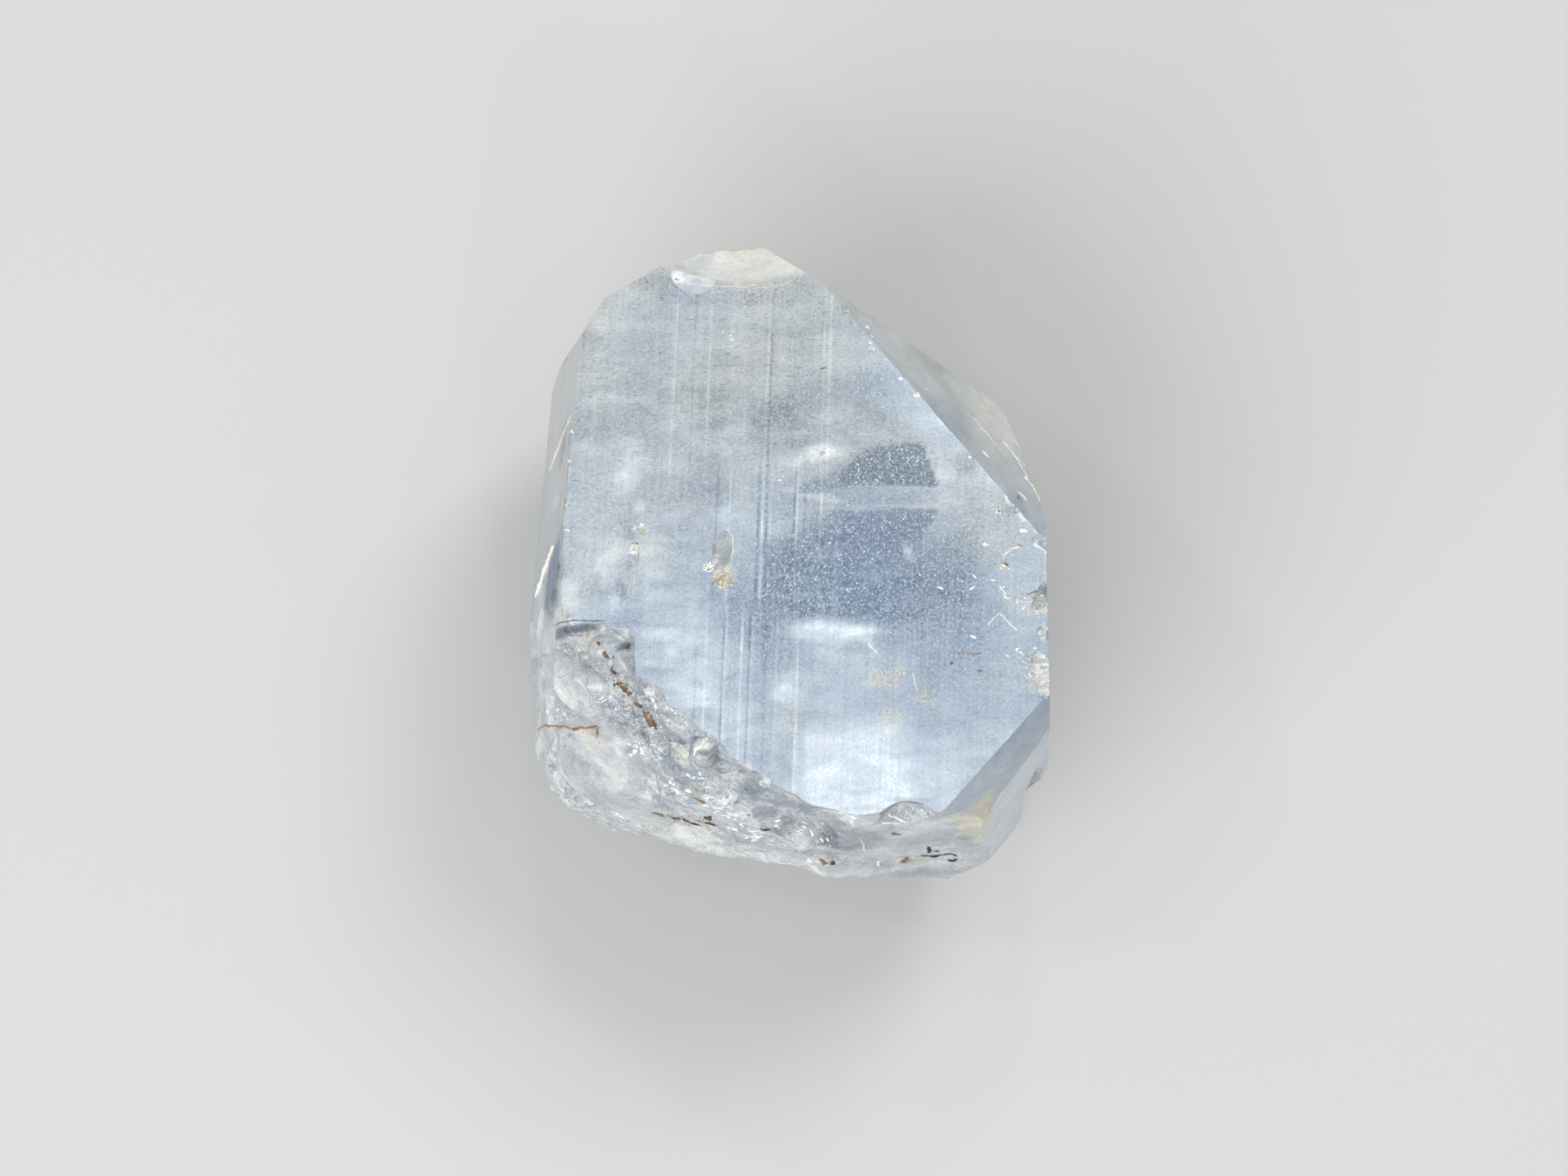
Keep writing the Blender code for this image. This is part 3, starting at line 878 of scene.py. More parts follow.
def mark_creases(mesh, owner):
    """Make an edge sharp where its two triangles belong to different faces, or lie on a break, and
    turn by more than the angle for that."""
    edges = np.empty(len(mesh.loops), np.int32)
    mesh.loops.foreach_get("edge_index", edges)
    order = np.argsort(edges, kind="stable")
    pair = (order // 3).reshape(-1, 2)
    normals = np.empty(len(mesh.polygons) * 3, np.float32)
    mesh.polygons.foreach_get("normal", normals)
    normals = normals.reshape(-1, 3)
    bend = (normals[pair[:, 0]] * normals[pair[:, 1]]).sum(1)
    sharp = (owner[pair[:, 0]] != owner[pair[:, 1]]) & (bend < math.cos(math.radians(CREASE_ANGLE)))
    chipped = (owner[pair] >= len(NATURAL_FACES)).all(1) & (bend < math.cos(math.radians(CHIP_ANGLE)))
    mark = mesh.attributes.get("sharp_edge") or mesh.attributes.new("sharp_edge", "BOOLEAN", "EDGE")
    mark.data.foreach_set("value", sharp | chipped)


def patch_weight(points, middle, radii, turn, soft):
    """1 inside an ellipse seen from above, falling to 0 around it."""
    t = math.radians(turn)
    x = points[:, 0] / MM - middle[0]
    y = points[:, 1] / MM - middle[1]
    u = (x * math.cos(t) + y * math.sin(t)) / radii[0]
    v = (y * math.cos(t) - x * math.sin(t)) / radii[1]
    return 1.0 - rise(np.hypot(u, v), 1.0 - soft, 1.0 + soft)


def window_weight(points, corners):
    """1 inside a straight-edged window seen from above: the product of a step across each of its
    edges."""
    x, y = points[:, 0] / MM, points[:, 1] / MM
    weight = np.ones(len(points))
    for (x0, y0, soft), (x1, y1, _) in zip(corners, corners[1:] + corners[:1]):
        inside = ((x - x0) * (y1 - y0) - (y - y0) * (x1 - x0)) / math.hypot(x1 - x0, y1 - y0)
        weight *= rise(inside, -soft, soft)
    return weight


# Where spots and tints begin and finish fading, in shares of their radii.
SPOT_FADE = (0.6, 1.2)
TINT_FADE = (0.45, 1.15)

# The strength of patches and windows, and how deep below the top the upper face may lie, in metres.
DRAWN_STRENGTH = 0.8
UPPER_DEPTH = 0.3 * MM


def spot_level(points):
    """How much milkier the spots make the skin, some of them painted light and some painted shade: each is
    an ellipsoid, torn at its edge.
    """
    torn = drifted(points, 0.9 * MM, 0.2 * MM, 131) / MM
    total = np.zeros(len(points))
    for middle, radii, strength in SPOTS.values():
        far = np.linalg.norm((torn - np.array(middle)) / np.array(radii), axis=1)
        total += strength * (1.0 - rise(far, *SPOT_FADE))
    return total


def tint_at(points):
    """Strength of the yellow tints, the strongest of the round spots, each torn at its edge, less the
    strength of the violet hazes."""
    torn = drifted(drifted(points, 0.9 * MM, 0.35 * MM, 121), 0.35 * MM, 0.16 * MM, 125)
    total = np.zeros(len(points))
    for middle, radius, strength in TINTS.values():
        far = np.linalg.norm(torn / MM - np.array(middle), axis=1) / radius
        total = np.maximum(total, strength * (1.0 - rise(far, *TINT_FADE)))
    upper = points[:, 2] > TOP - UPPER_DEPTH
    for middle, radii, turn, strength in VIOLETS.values():
        total -= strength * patch_weight(torn, middle, radii, turn, 0.7) * upper
    return total


def upper_level(points):
    """How much milkier the upper face is than its own value: torn patches, among them painted glows and
    painted shade, straight-edged windows, wisps that lie across the prism, faint bands along it, the sharp
    edge of the painted glow at the foot, and soft clouds."""
    torn = drifted(drifted(points, 1.6 * MM, 0.3 * MM, 61), 0.5 * MM, 0.12 * MM, 65)
    across, along = prism_place(torn)
    wisps = cloud_at(np.stack([across / 4.0, along, torn[:, 2] / MM], axis=1), 0.55, 71)
    clouds = cloud_at(np.stack([across / 1.6, along, torn[:, 2] / MM], axis=1), 1.9, 75)
    total = (0.05 + 0.03 * rise(along, -2.0, 6.0)) * wisps + 0.06 * clouds
    for middle, radii, turn, strength, soft in PATCHES.values():
        weight = patch_weight(torn, middle, radii, turn, soft)
        total += DRAWN_STRENGTH * strength * weight * (0.9 + 0.5 * wisps)
    wavy = drifted(points, 1.3 * MM, 0.06 * MM, 67)
    for strength, corners in WINDOWS.values():
        weight = window_weight(wavy, corners)
        total += DRAWN_STRENGTH * strength * weight * (0.95 + 0.25 * wisps)
    across, along = prism_place(points)
    bands = noise_at(np.stack([across, along / 22.0, np.zeros(len(points))], axis=1), 1.1, 83)
    # The foot glow edge is painted light: the sharp west edge of the glow at the foot.
    foot_glow_edge = 0.14 * rise(across, 0.86, 0.94) * rise(-along, 9.5, 13.0)
    return total + 0.014 * np.sign(bands - 0.1) + 0.01 * np.sign(bands + 0.25) + foot_glow_edge


def side_level(points):
    """How much milkier the other natural faces are than their own values: veils and fine bands, both
    drawn out along the prism."""
    across, along = prism_place(points)
    veils = cloud_at(np.stack([across, along / 2.2, points[:, 2] / MM], axis=1), 3.2, 101)
    bands = noise_at(np.stack([across, along / 14.0, points[:, 2] / MM], axis=1), 0.5, 105)
    return 0.11 * veils + 0.05 * bands


def break_level(points):
    """How much milkier a break is than its own value, from crumpled clouds and from chips, apart. The
    chips' part is painted light and shade: lighter where a chip stands high, darker where it lies low.
    """
    torn = drifted(points, 1.0 * MM, 0.5 * MM, 91)
    return 0.09 * cloud_at(torn, 2.4 * MM, 95, 3), 0.27 * chip_relief(points)


def set_numbers(mesh, name, values, domain):
    """Lay a named layer of numbers over a mesh, for its material to read."""
    layer = mesh.attributes.new(name, "FLOAT", domain)
    layer.data.foreach_set("value", np.asarray(values, np.float32))


def crystal_skin():
    """The crystal's whole outside as one closed surface."""
    rays, quads = grid_rays()
    rays, moved = snap_to_creases(rays, quads)
    reach, _ = crystal_reach(rays)
    points = MIDDLE + rays * reach[:, None]
    triangles = split_quads(quads, moved)
    _, owner = crystal_reach(unit(rays[triangles].mean(1)))
    mesh = new_mesh("topaz_skin", points, triangles)
    mark_creases(mesh, owner)
    looks = [break_look(name) for name in OWNERS[len(NATURAL_FACES):]]
    frost = np.array([face[2] for face in NATURAL_FACES.values()] + [0.0] * len(looks))
    milk = np.array([face[3] for face in NATURAL_FACES.values()] + [look[0] for look in looks])
    glitter = np.array([0.0] * len(NATURAL_FACES) + [look[1] for look in looks])
    striated = np.array([name in STRIATED for name in OWNERS])
    upper = owner == OWNERS.index("upper_prism")
    broken = owner >= len(NATURAL_FACES)
    corner = triangles.ravel()
    level = np.repeat(milk[owner], 3) + spot_level(points)[corner]
    clouds, chips = break_level(points)
    # The chips' part is painted light and shade by their height, stronger where the break glitters.
    chipped = clouds[corner] + chips[corner] * np.repeat(0.15 + 0.85 * glitter[owner], 3)
    level = level + np.where(np.repeat(broken, 3), chipped, 0.0)
    level = level + np.where(np.repeat(upper, 3), upper_level(points)[corner], 0.0)
    level = level + np.where(np.repeat(broken | upper, 3), 0.0, side_level(points)[corner])
    set_numbers(mesh, "level", level, "CORNER")
    for name, values in (("frost", frost[owner]), ("glitter", glitter[owner]), ("broken", broken)):
        set_numbers(mesh, name, np.repeat(values, 3), "CORNER")
    set_numbers(mesh, "drawn", np.repeat(striated[owner], 3), "CORNER")
    set_numbers(mesh, "tint", tint_at(points), "POINT")
    return mesh


# Tones of the clear and the milky stone, cool and warm, of what tints it, of the painted dark reflection,
# and of the stone inside. The clear tones are painted shade, the dark of what shows through clear stone,
# over the stone's own blue.
SHADED_CLEAR_TONE = (0.14, 0.228, 0.345)
WHITE_TONE = (0.9, 0.96, 1.0)
WARM_SHADED_CLEAR_TONE = (0.24, 0.265, 0.26)
WARM_WHITE_TONE = (0.93, 0.92, 0.87)
OCHRE_TONE = (0.6, 0.52, 0.32)
VIOLET_TONE = (0.27, 0.34, 0.58)
DARK_REFLECTION_TONE = (0.15, 0.2, 0.28)
GLASS_TONE = (0.97, 0.985, 1.0)
STONE_BLUE = (0.52, 0.66, 0.82)
STONE_DENSITY = 36.0
TOPAZ_IOR = 1.62

# Sizes of the patterns on the skin, in millimetres along X, Y and Z.
GRAIN_SIZE = (0.13, 0.15, 0.15)
CURL_SIZE = (0.3, 0.3, 0.3)
HAIR_SIZE = (0.2, 12.0, 0.25)
FADE_SIZE = (2.2, 3.0, 2.0)
FLECK_SIZE = (0.42, 0.09, 0.3)
TERRACE_SIZE = (5.0, 5.0, 2.6)
CHIP_SIZE = (0.66, 0.4, 0.42)
CLOUD_SIZE = (2.3, 1.7, 1.7)
FOLD_SIZE = (0.75, 0.5, 0.5)

# How deep the grain and the chips stand in their bumps, in metres.
GRAIN_DEPTH = 0.02 * MM
CHIP_DEPTH = 0.2 * MM

# Lines drawn along the prism on the upper face: millimetres across it, width, and brightness, where 0.5
# is none. The first list shows on the north half of the face, the second on the middle and the third on
# the south.
LINES = (
    ((-6.45, 0.1, 0.62), (-5.4, 0.09, 0.4), (-4.55, 0.1, 0.6), (-1.3, 0.09, 0.6), (-1.12, 0.08, 0.34),
     (1.75, 0.09, 0.62), (2.1, 0.09, 0.66)),
    ((-3.8, 0.09, 0.36), (-3.1, 0.09, 0.62), (-1.52, 0.1, 0.24), (-1.3, 0.09, 0.68), (-1.08, 0.08, 0.3),
     (-0.86, 0.09, 0.62), (0.45, 0.11, 0.22), (0.56, 0.09, 0.74), (1.0, 0.09, 0.4), (1.9, 0.09, 0.68)),
    ((-4.6, 0.09, 0.38), (-4.05, 0.09, 0.64), (-3.12, 0.1, 0.26), (-3.02, 0.09, 0.74), (-2.15, 0.1, 0.7),
     (-1.72, 0.1, 0.22), (-1.62, 0.09, 0.68), (-0.85, 0.09, 0.36), (-0.25, 0.09, 0.6), (0.9, 0.1, 0.64)),
)
LINES_LOW = -8.0
LINES_WIDTH = 12.0
NO_LINE = 0.5


def drawn_lines(finish):
    """Brightness of the drawn lines: one ramp across the face for each of the three lists, faded into
    each other along the face."""
    place = finish.add("SeparateXYZ", Vector=finish.stretched((1.0, 1.0, 1.0), PRISM_TURN))
    across = (place - LINES_LOW) / LINES_WIDTH
    along = place.also("Y")
    middle_zone = along.step(-5.5, -4.0) * (1.0 - along.step(2.0, 4.0))
    zones = (along.step(1.5, 3.5), middle_zone, 1.0 - along.step(-6.5, -4.5))
    total = 0.0
    for zone, lines in zip(zones, LINES):
        stops = [(0.0, NO_LINE)]
        for middle, width, light in lines:
            for side, value in ((-width, NO_LINE), (0.0, light), (width, NO_LINE)):
                stops.append(((middle + side - LINES_LOW) / LINES_WIDTH, value))
        ramp = finish.add("ValToRGB", {"stops": stops}, Fac=across)
        total = total + zone * (ramp - NO_LINE)
    return total


def topaz(finish, level, warmth, ochre, violet, share, rough, normal):
    """Clear topaz and its milky skin, mixed by the share of the milk. The level runs from slate blue,
    painted shade of what shows through clear stone, to white."""
    cool = finish.blend(level, SHADED_CLEAR_TONE, WHITE_TONE)
    warm = finish.blend(level, WARM_SHADED_CLEAR_TONE, WARM_WHITE_TONE)
    colour = finish.blend(ochre, finish.blend(warmth, cool, warm), OCHRE_TONE)
    colour = finish.blend(violet, colour, VIOLET_TONE)
    gloss = {"Roughness": rough, "IOR": TOPAZ_IOR, "Normal": normal}
    glass = {"Base Color": GLASS_TONE, "Transmission Weight": 1.0}
    clear = finish.add("BsdfPrincipled", **glass, **gloss)
    milky = finish.add("BsdfPrincipled", **{"Base Color": colour}, **gloss)
    return finish.add("MixShader", Fac=share, Shader=clear, Shader_001=milky)


def natural_topaz(finish, level, tint):
    """The natural faces. Frosted ones have grain, short dark flecks and curled frost, which shows most
    where the stone under it is clear, and lacy ochre crusts. The prism's own faces have hair lines drawn
    along it. Plainer ones have faint terraces, level lines of a slow noise, and a dull dark painted
    reflection of dark surroundings where they are very clear. Colours grow warmer towards the north end and
    down the sides."""
    frost = finish.attribute("frost")
    drawn = finish.attribute("drawn")
    grain = finish.noise(GRAIN_SIZE, detail=1.5, roughness=0.65)
    curls = finish.noise(CURL_SIZE, detail=2.0, roughness=0.6, distortion=1.6)
    curls = 1.0 - ((curls - 0.5).size() * 16.0).clamp()
    hairs = finish.noise(HAIR_SIZE, turn=PRISM_TURN, detail=2.0, roughness=0.6)
    patchy = finish.noise(FADE_SIZE, detail=1.0).step(0.42, 0.62)
    lines = drawn_lines(finish) * (0.45 + patchy * 0.55)
    strength = 0.14 + (level - 0.5).size() * 0.5 + (0.5 - level).most(0.0) * 0.8
    level = level.most(0.04) + ((hairs - 0.5) * strength + lines * 1.9) * drawn
    flecks = finish.noise(FLECK_SIZE, detail=1.0)
    place = finish.add("SeparateXYZ", Vector=finish.place)
    north = place.also("Y").step(-6.0, 11.0)
    level = level - flecks.step(0.58, 0.68) * (0.08 + north * 0.1) * frost
    dark = (0.62 - level).most(0.0)
    light = (level - 0.62).most(0.0)
    dark = dark * dark
    frosting = curls * (dark * 2.0 - light * 0.7) + (grain - 0.5) * (0.34 + dark * 3.4) - dark * 0.24
    frosting = frosting + grain.step(0.64, 0.74) * (0.03 + dark * 1.2)
    terraces = (finish.noise(TERRACE_SIZE, detail=0.0) * 11.0).fraction() * (1.0 - frost)
    level = (level + frosting * frost + (terraces - 0.3) * 0.09).clamp()
    side = 1.0 - place.also("Z").step(19.0, 20.9)
    warmth = (north * 0.72 + 0.06 + side * 0.22 + (patchy - 0.5) * 0.1).clamp()
    lace = (grain - 0.42) * 3.4 + curls * 1.1
    ochre = (tint * (0.85 + (lace - 0.85) * frost)).clamp()
    violet = (0.0 - tint).clamp() * (0.4 + grain * 0.6)
    share = (0.26 + frost * 0.26 + (level - 0.4) * 0.42 + ochre * 0.3).clamp()
    normal = finish.bump((grain * 0.4 + hairs * 0.35 * drawn) * frost, GRAIN_DEPTH, 0.6)
    body = topaz(finish, level, warmth, ochre, violet, share, 0.08 + frost * 0.14, normal)
    # A dull dark diffuse shader mixed in where plain faces are very clear: a painted reflection of dark
    # surroundings.
    dark_reflection = finish.add("BsdfDiffuse", Color=DARK_REFLECTION_TONE)
    depth = ((0.36 - level).most(0.0) * (1.0 - frost) * (3.4 + hairs * 1.2)).clamp()
    return finish.add("MixShader", Fac=depth, Shader=body, Shader_001=dark_reflection)


BREAK_WARMTH = 0.86


def broken_topaz(finish, level, tint):
    """The breaks: cloudy glass that rises in curved steps, crossed by dark folds and thin bright glints,
    both level lines of one noise: the folds are painted shade and the glints painted highlights. Flats that
    each have a tilt and a tone of their own show where the break glitters, their tones painted reflections,
    and the rest is glossed less."""
    glitter = finish.attribute("glitter")
    flat, tilt = finish.chips(CHIP_SIZE, 0.8)
    cloud = finish.noise(CLOUD_SIZE, detail=2.0, roughness=0.5, distortion=0.7)
    ripples = (cloud * 5.0).fraction()
    folds = finish.noise(FOLD_SIZE, detail=1.5, roughness=0.5, distortion=1.6)
    glints = 1.0 - ((folds - 0.585).size() * 22.0).clamp()
    folds = 1.0 - ((folds - 0.5).size() * 17.0).clamp()
    # The flats' tones are painted reflections, the folds painted shade lines and the glints painted
    # highlights.
    level = level + (flat - 0.5) * (0.03 + glitter * 0.26) + (cloud - 0.5) * 0.26
    level = level + (ripples - 0.5) * (0.04 + glitter * 0.1) - folds * (0.06 + glitter * 0.29)
    level = (level + glints * (0.05 + glitter * 0.29)).clamp()
    height = tilt * (0.12 + glitter * 0.75) + ripples * (0.08 + glitter * 0.12)
    ochre = (tint * (cloud * 0.8 + 0.35)).clamp()
    share = (0.36 + (level - 0.6) * 0.95 + ochre * 0.4).clamp()
    violet = (0.0 - tint).clamp()
    rough = (0.23 - glitter * 0.36).most(0.05)
    normal = finish.bump(height, CHIP_DEPTH, 0.9)
    return topaz(finish, level, BREAK_WARMTH, ochre, violet, share, rough, normal)


def crystal_finish():
    """The crystal's one material: frosted on the natural faces and broken elsewhere, with the pale
    blue of the clear stone inside it."""
    finish = Finish("clear_topaz")
    level = finish.attribute("level")
    tint = finish.attribute("tint")
    skin = finish.add(
        "MixShader",
        Fac=finish.attribute("broken"),
        Shader=natural_topaz(finish, level, tint),
        Shader_001=broken_topaz(finish, level, tint),
    )
    stone = finish.add("VolumeAbsorption", Color=STONE_BLUE, Density=STONE_DENSITY)
    return finish.surface(skin, stone)


# --------------------------------------------------------------------------------------------------
# Stains, crusts, cracks, painted glints and shade, and flashes
# --------------------------------------------------------------------------------------------------

# Films of iron stain on the breaks: middle in millimetres, length and width, turn in degrees, and how
# dark.
STAINS = {
    "valley_stain_a": ((-9.27, -8.08, 19.63), 0.38, 0.17, -62.0, 0.9),
    "valley_stain_b": ((-8.95, -8.76, 18.93), 0.42, 0.31, -30.0, 0.75),
    "valley_stain_c": ((-8.53, -9.08, 18.79), 0.3, 0.17, -65.0, 0.8),
    "valley_stain_d": ((-8.05, -9.72, 18.48), 0.3, 0.2, -25.0, 0.6),
    "valley_stain_e": ((-7.48, -10.32, 17.97), 0.66, 0.36, -38.0, 0.45),
    "valley_stain_f": ((-7.15, -10.66, 17.95), 0.36, 0.22, -60.0, 0.9),
    "ledge_stain": ((-10.9, -6.25, 20.4), 0.26, 0.12, 60.0, 0.5),
    "ledge_hole": ((-8.58, -6.98, 20.63), 0.2, 0.09, -50.0, 0.9),
    "ledge_spot_a": ((-9.9, -6.6, 20.25), 0.16, 0.12, 0.0, 0.7),
    "ledge_spot_b": ((-9.4, -7.1, 19.95), 0.26, 0.14, -55.0, 0.5),
    "foot_stain_a": ((-7.03, -14.57, 12.69), 0.44, 0.17, -20.0, 0.6),
    "foot_stain_b": ((-6.35, -14.75, 12.86), 0.6, 0.13, -25.0, 0.9),
    "foot_stain_c": ((-5.44, -15.12, 12.26), 0.52, 0.2, -6.0, 0.9),
    "foot_stain_d": ((-4.35, -15.24, 13.73), 0.38, 0.24, 60.0, 0.9),
    "foot_stain_e": ((-4.4, -15.35, 12.9), 0.8, 0.14, 4.0, 0.9),
    "apron_stain_a": ((-1.1, -15.9, 15.2), 0.4, 0.16, 4.0, 0.9),
    "apron_stain_b": ((-0.45, -15.83, 15.17), 0.45, 0.06, 8.0, 0.6),
    "apron_stain_c": ((2.0, -17.25, 12.79), 0.55, 0.15, -10.0, 0.1),
    "olive_spot": ((-4.8, -14.75, 15.9), 0.5, 0.34, -20.0, 0.1),
    "base_hole": ((6.74, -17.0, 12.2), 0.58, 0.36, 80.0, 0.45),
    "east_spot": ((6.0, -16.7, 17.8), 0.42, 0.15, -12.0, 0.3),
    "apron_stain_d": ((2.5, -17.34, 12.77), 0.24, 0.14, 0.0, 1.0),
    "apron_dot": ((-2.06, -15.36, 16.57), 0.13, 0.11, 0.0, 0.2),
    "valley_dot": ((-9.33, -7.55, 20.45), 0.12, 0.1, 0.0, 0.9),
    "east_brown_spot": ((8.87, -7.96, 21.0), 0.15, 0.11, 40.0, 0.5),
    "east_brown_low": ((8.65, -8.17, 21.0), 0.1, 0.07, 0.0, 0.6),
    "east_orange_dot": ((10.34, -8.48, 21.0), 0.14, 0.08, 0.0, 0.0),
    "east_pit_rim": ((11.95, -2.42, 21.0), 0.26, 0.08, -18.0, 0.5),
    "edge_brown": ((13.2, -4.05, 20.9), 0.3, 0.05, 8.0, 0.2),
    "red_speck": ((1.94, 3.77, 21.0), 0.15, 0.1, 30.0, 0.3),
    "red_pit_stain": ((2.05, 8.9, 21.0), 0.24, 0.06, 6.0, 0.3),
    "pit_stain_a": ((-7.93, -0.3, 20.9), 0.22, 0.12, 50.0, 0.3),
    "pit_stain_b": ((-8.16, -1.35, 20.9), 0.16, 0.11, 0.0, 0.35),
    "bevel_hole": ((12.76, 1.49, 20.34), 0.17, 0.06, -50.0, 0.5),
}

# The black dashes by the foot of the lower bevel: radius and the points that each one joins, in
# millimetres.
DASHES = {
    "dash_tail": (0.042, ((7.35, -16.84, 12.5), (7.7, -16.77, 12.2), (8.03, -16.7, 11.85))),
    "dash_long": (0.105, ((7.95, -16.7, 11.85), (8.35, -16.65, 11.7), (8.75, -16.58, 11.52))),
    "dash_east": (0.091, ((8.7, -16.58, 11.5), (9.15, -16.56, 11.75), (9.5, -16.64, 11.6))),
    "dash_low": (0.119, ((9.0, -16.73, 11.0), (9.3, -16.74, 10.95), (9.58, -16.75, 11.15))),
    "dash_dot": (0.105, ((7.82, -16.74, 14.6), (7.86, -16.76, 14.0), (7.91, -16.79, 13.4))),
    "dash_speck": (0.056, ((8.2, -16.64, 12.98), (8.3, -16.63, 12.86), (8.44, -16.61, 12.77))),
}

# Hairline cracks, and a few pale tubes that are painted glints: radius in millimetres, how rusty each one
# is, and the points that it joins.
CRACKS_AND_GLINTS = {
    "golden_hairline": (0.038, 0.12, ((11.8, -2.05, 21.0), (12.17, -1.68, 21.0), (12.5, -1.52, 21.0),
                                      (12.8, -1.5, 21.0))),
    "v_crack_west": (0.034, 0.22, ((10.97, -6.0, 21.0), (10.92, -5.84, 21.0), (11.18, -5.6, 21.0),
                                   (11.54, -5.26, 21.0))),
    "v_crack_east": (0.034, 0.14, ((11.54, -5.26, 21.0), (11.97, -5.65, 21.0), (12.53, -6.24, 21.0))),
    "v_crack_foot": (0.045, 0.8, ((10.3, -6.58, 21.0), (10.6, -6.55, 21.0), (10.85, -6.5, 21.0))),
    "red_hairline": (0.032, 0.95, ((9.5, -7.45, 21.0), (10.0, -7.5, 21.0), (10.52, -7.52, 21.0))),
    "red_hairline_west": (0.02, 0.8, ((8.84, -7.49, 21.0), (9.05, -7.5, 21.0), (9.28, -7.5, 21.0))),
    "east_hairline": (0.034, 0.15, ((11.57, -3.67, 21.0), (11.78, -4.0, 21.0), (11.97, -4.43, 21.0))),
    "golden_end": (0.045, 0.8, ((12.6, -1.45, 21.0), (12.72, -1.42, 21.0), (12.9, -1.52, 21.0))),
    "crust_line": (0.022, 0.05, ((6.8, -8.6, 21.0), (6.95, -9.1, 21.0), (7.02, -9.5, 21.0))),
    "lamp_hairline": (0.018, 0.7, ((-0.4, 4.0, 21.0), (0.2, 4.18, 21.0), (0.9, 3.98, 21.0),
                                   (1.55, 4.15, 21.0), (2.05, 3.9, 21.0))),
    "bevel_crack": (0.04, 0.25, ((10.05, 7.09, 18.8), (10.2, 6.75, 18.95), (10.53, 6.54, 18.78),
                                 (10.85, 6.1, 18.9), (11.14, 5.71, 18.83), (11.52, 5.19, 18.87),
                                 (12.24, 4.3, 18.8))),
    "bevel_crack_east": (0.048, 0.1, ((12.05, 5.51, 18.22), (12.56, 4.77, 18.28), (12.98, 4.07, 18.41),
                                      (13.41, 2.99, 18.78))),
    "bevel_dash": (0.055, 0.0, ((10.76, 4.33, 20.08), (10.95, 4.1, 20.08), (11.09, 3.93, 20.07))),
    "bevel_fleck": (0.07, 0.05, ((12.77, 1.95, 20.05), (12.95, 1.75, 20.0), (13.21, 1.51, 19.94))),
    "rust_crack": (0.05, 0.95, ((-14.1, -8.75, 8.6), (-13.94, -8.75, 9.46), (-13.19, -9.4, 12.51),
                                (-12.42, -9.95, 14.58), (-11.85, -10.29, 15.14))),
    "rust_crack_end": (0.085, 1.0, ((-11.85, -10.29, 15.14), (-11.39, -10.3, 15.59),
                                    (-10.65, -10.38, 15.91), (-10.44, -10.42, 15.99),
                                    (-10.4, -10.85, 16.02))),
    "rust_crack_tail": (0.04, 0.6, ((-10.4, -10.85, 16.02), (-10.26, -11.18, 15.98),
                                    (-9.97, -11.55, 15.87))),
    "bevel_flow": (0.022, 0.35, ((10.6, 7.8, 17.6), (11.5, 6.7, 17.4), (12.4, 5.4, 17.2),
                                 (13.1, 4.1, 17.3))),
    "bevel_flow_low": (0.018, 0.3, ((11.4, 6.0, 18.2), (12.2, 5.1, 18.0), (13.0, 3.6, 17.9),
                                    (13.6, 2.2, 18.0))),
    "bevel_flow_edge": (0.018, 0.45, ((9.6, 8.9, 17.6), (10.6, 8.1, 16.9), (11.6, 7.0, 16.4),
                                      (12.4, 5.8, 16.2))),
    "bevel_low_streak": (0.05, 0.05, ((13.3, 3.3, 18.9), (13.55, 2.5, 18.8), (13.7, 1.6, 19.0))),
    # The knob's crescent is a painted highlight.
    "knob_crescent_glint": (0.11, 0.0, ((-4.88, -12.95, 20.65), (-4.78, -12.55, 20.65), (-4.48, -12.3, 20.65),
                                  (-4.08, -12.3, 20.65), (-3.86, -12.55, 20.65))),
    "left_sliver": (0.17, 0.0, ((-12.88, -0.4, 17.6), (-13.49, -0.9, 14.87), (-14.24, -1.6, 11.4))),
    "left_line": (0.065, 0.25, ((-11.92, 6.56, 19.63), (-12.71, 6.14, 15.99), (-13.61, 5.7, 11.94))),
    # The moon glints are painted glints.
    "moon_glint": (0.085, 0.0, ((5.43, -16.05, 19.95), (5.95, -16.19, 19.48), (6.52, -16.35, 19.12))),
    "moon_glint_low": (0.065, 0.0, ((5.1, -16.47, 19.66), (5.67, -16.43, 19.29), (6.2, -16.4, 18.92))),
    "apron_streak": (0.05, 0.25, ((4.03, -16.84, 17.39), (4.21, -16.86, 15.63), (4.34, -16.98, 14.12))),
    "apron_streak_core": (0.035, 0.75, ((4.35, -16.86, 15.9), (4.4, -16.9, 15.2), (4.42, -16.95, 14.6))),
    # The foot glint is a painted glint.
    "foot_glint": (0.07, 0.0, ((-11.42, -13.05, 11.0), (-11.25, -13.2, 10.5), (-11.0, -13.35, 10.2))),
    "tip_rim": (0.018, 0.25, ((-5.0, 14.1, 21.0), (-3.89, 13.72, 21.0), (-2.14, 13.6, 21.0),
                              (-0.65, 13.66, 21.0), (0.37, 14.05, 21.0))),
    "bubble_rim": (0.022, 0.05, ((-3.3, -0.45, 21.0), (-2.95, -0.95, 21.0), (-2.9, -1.7, 21.0),
                                 (-3.05, -2.2, 21.0))),
}
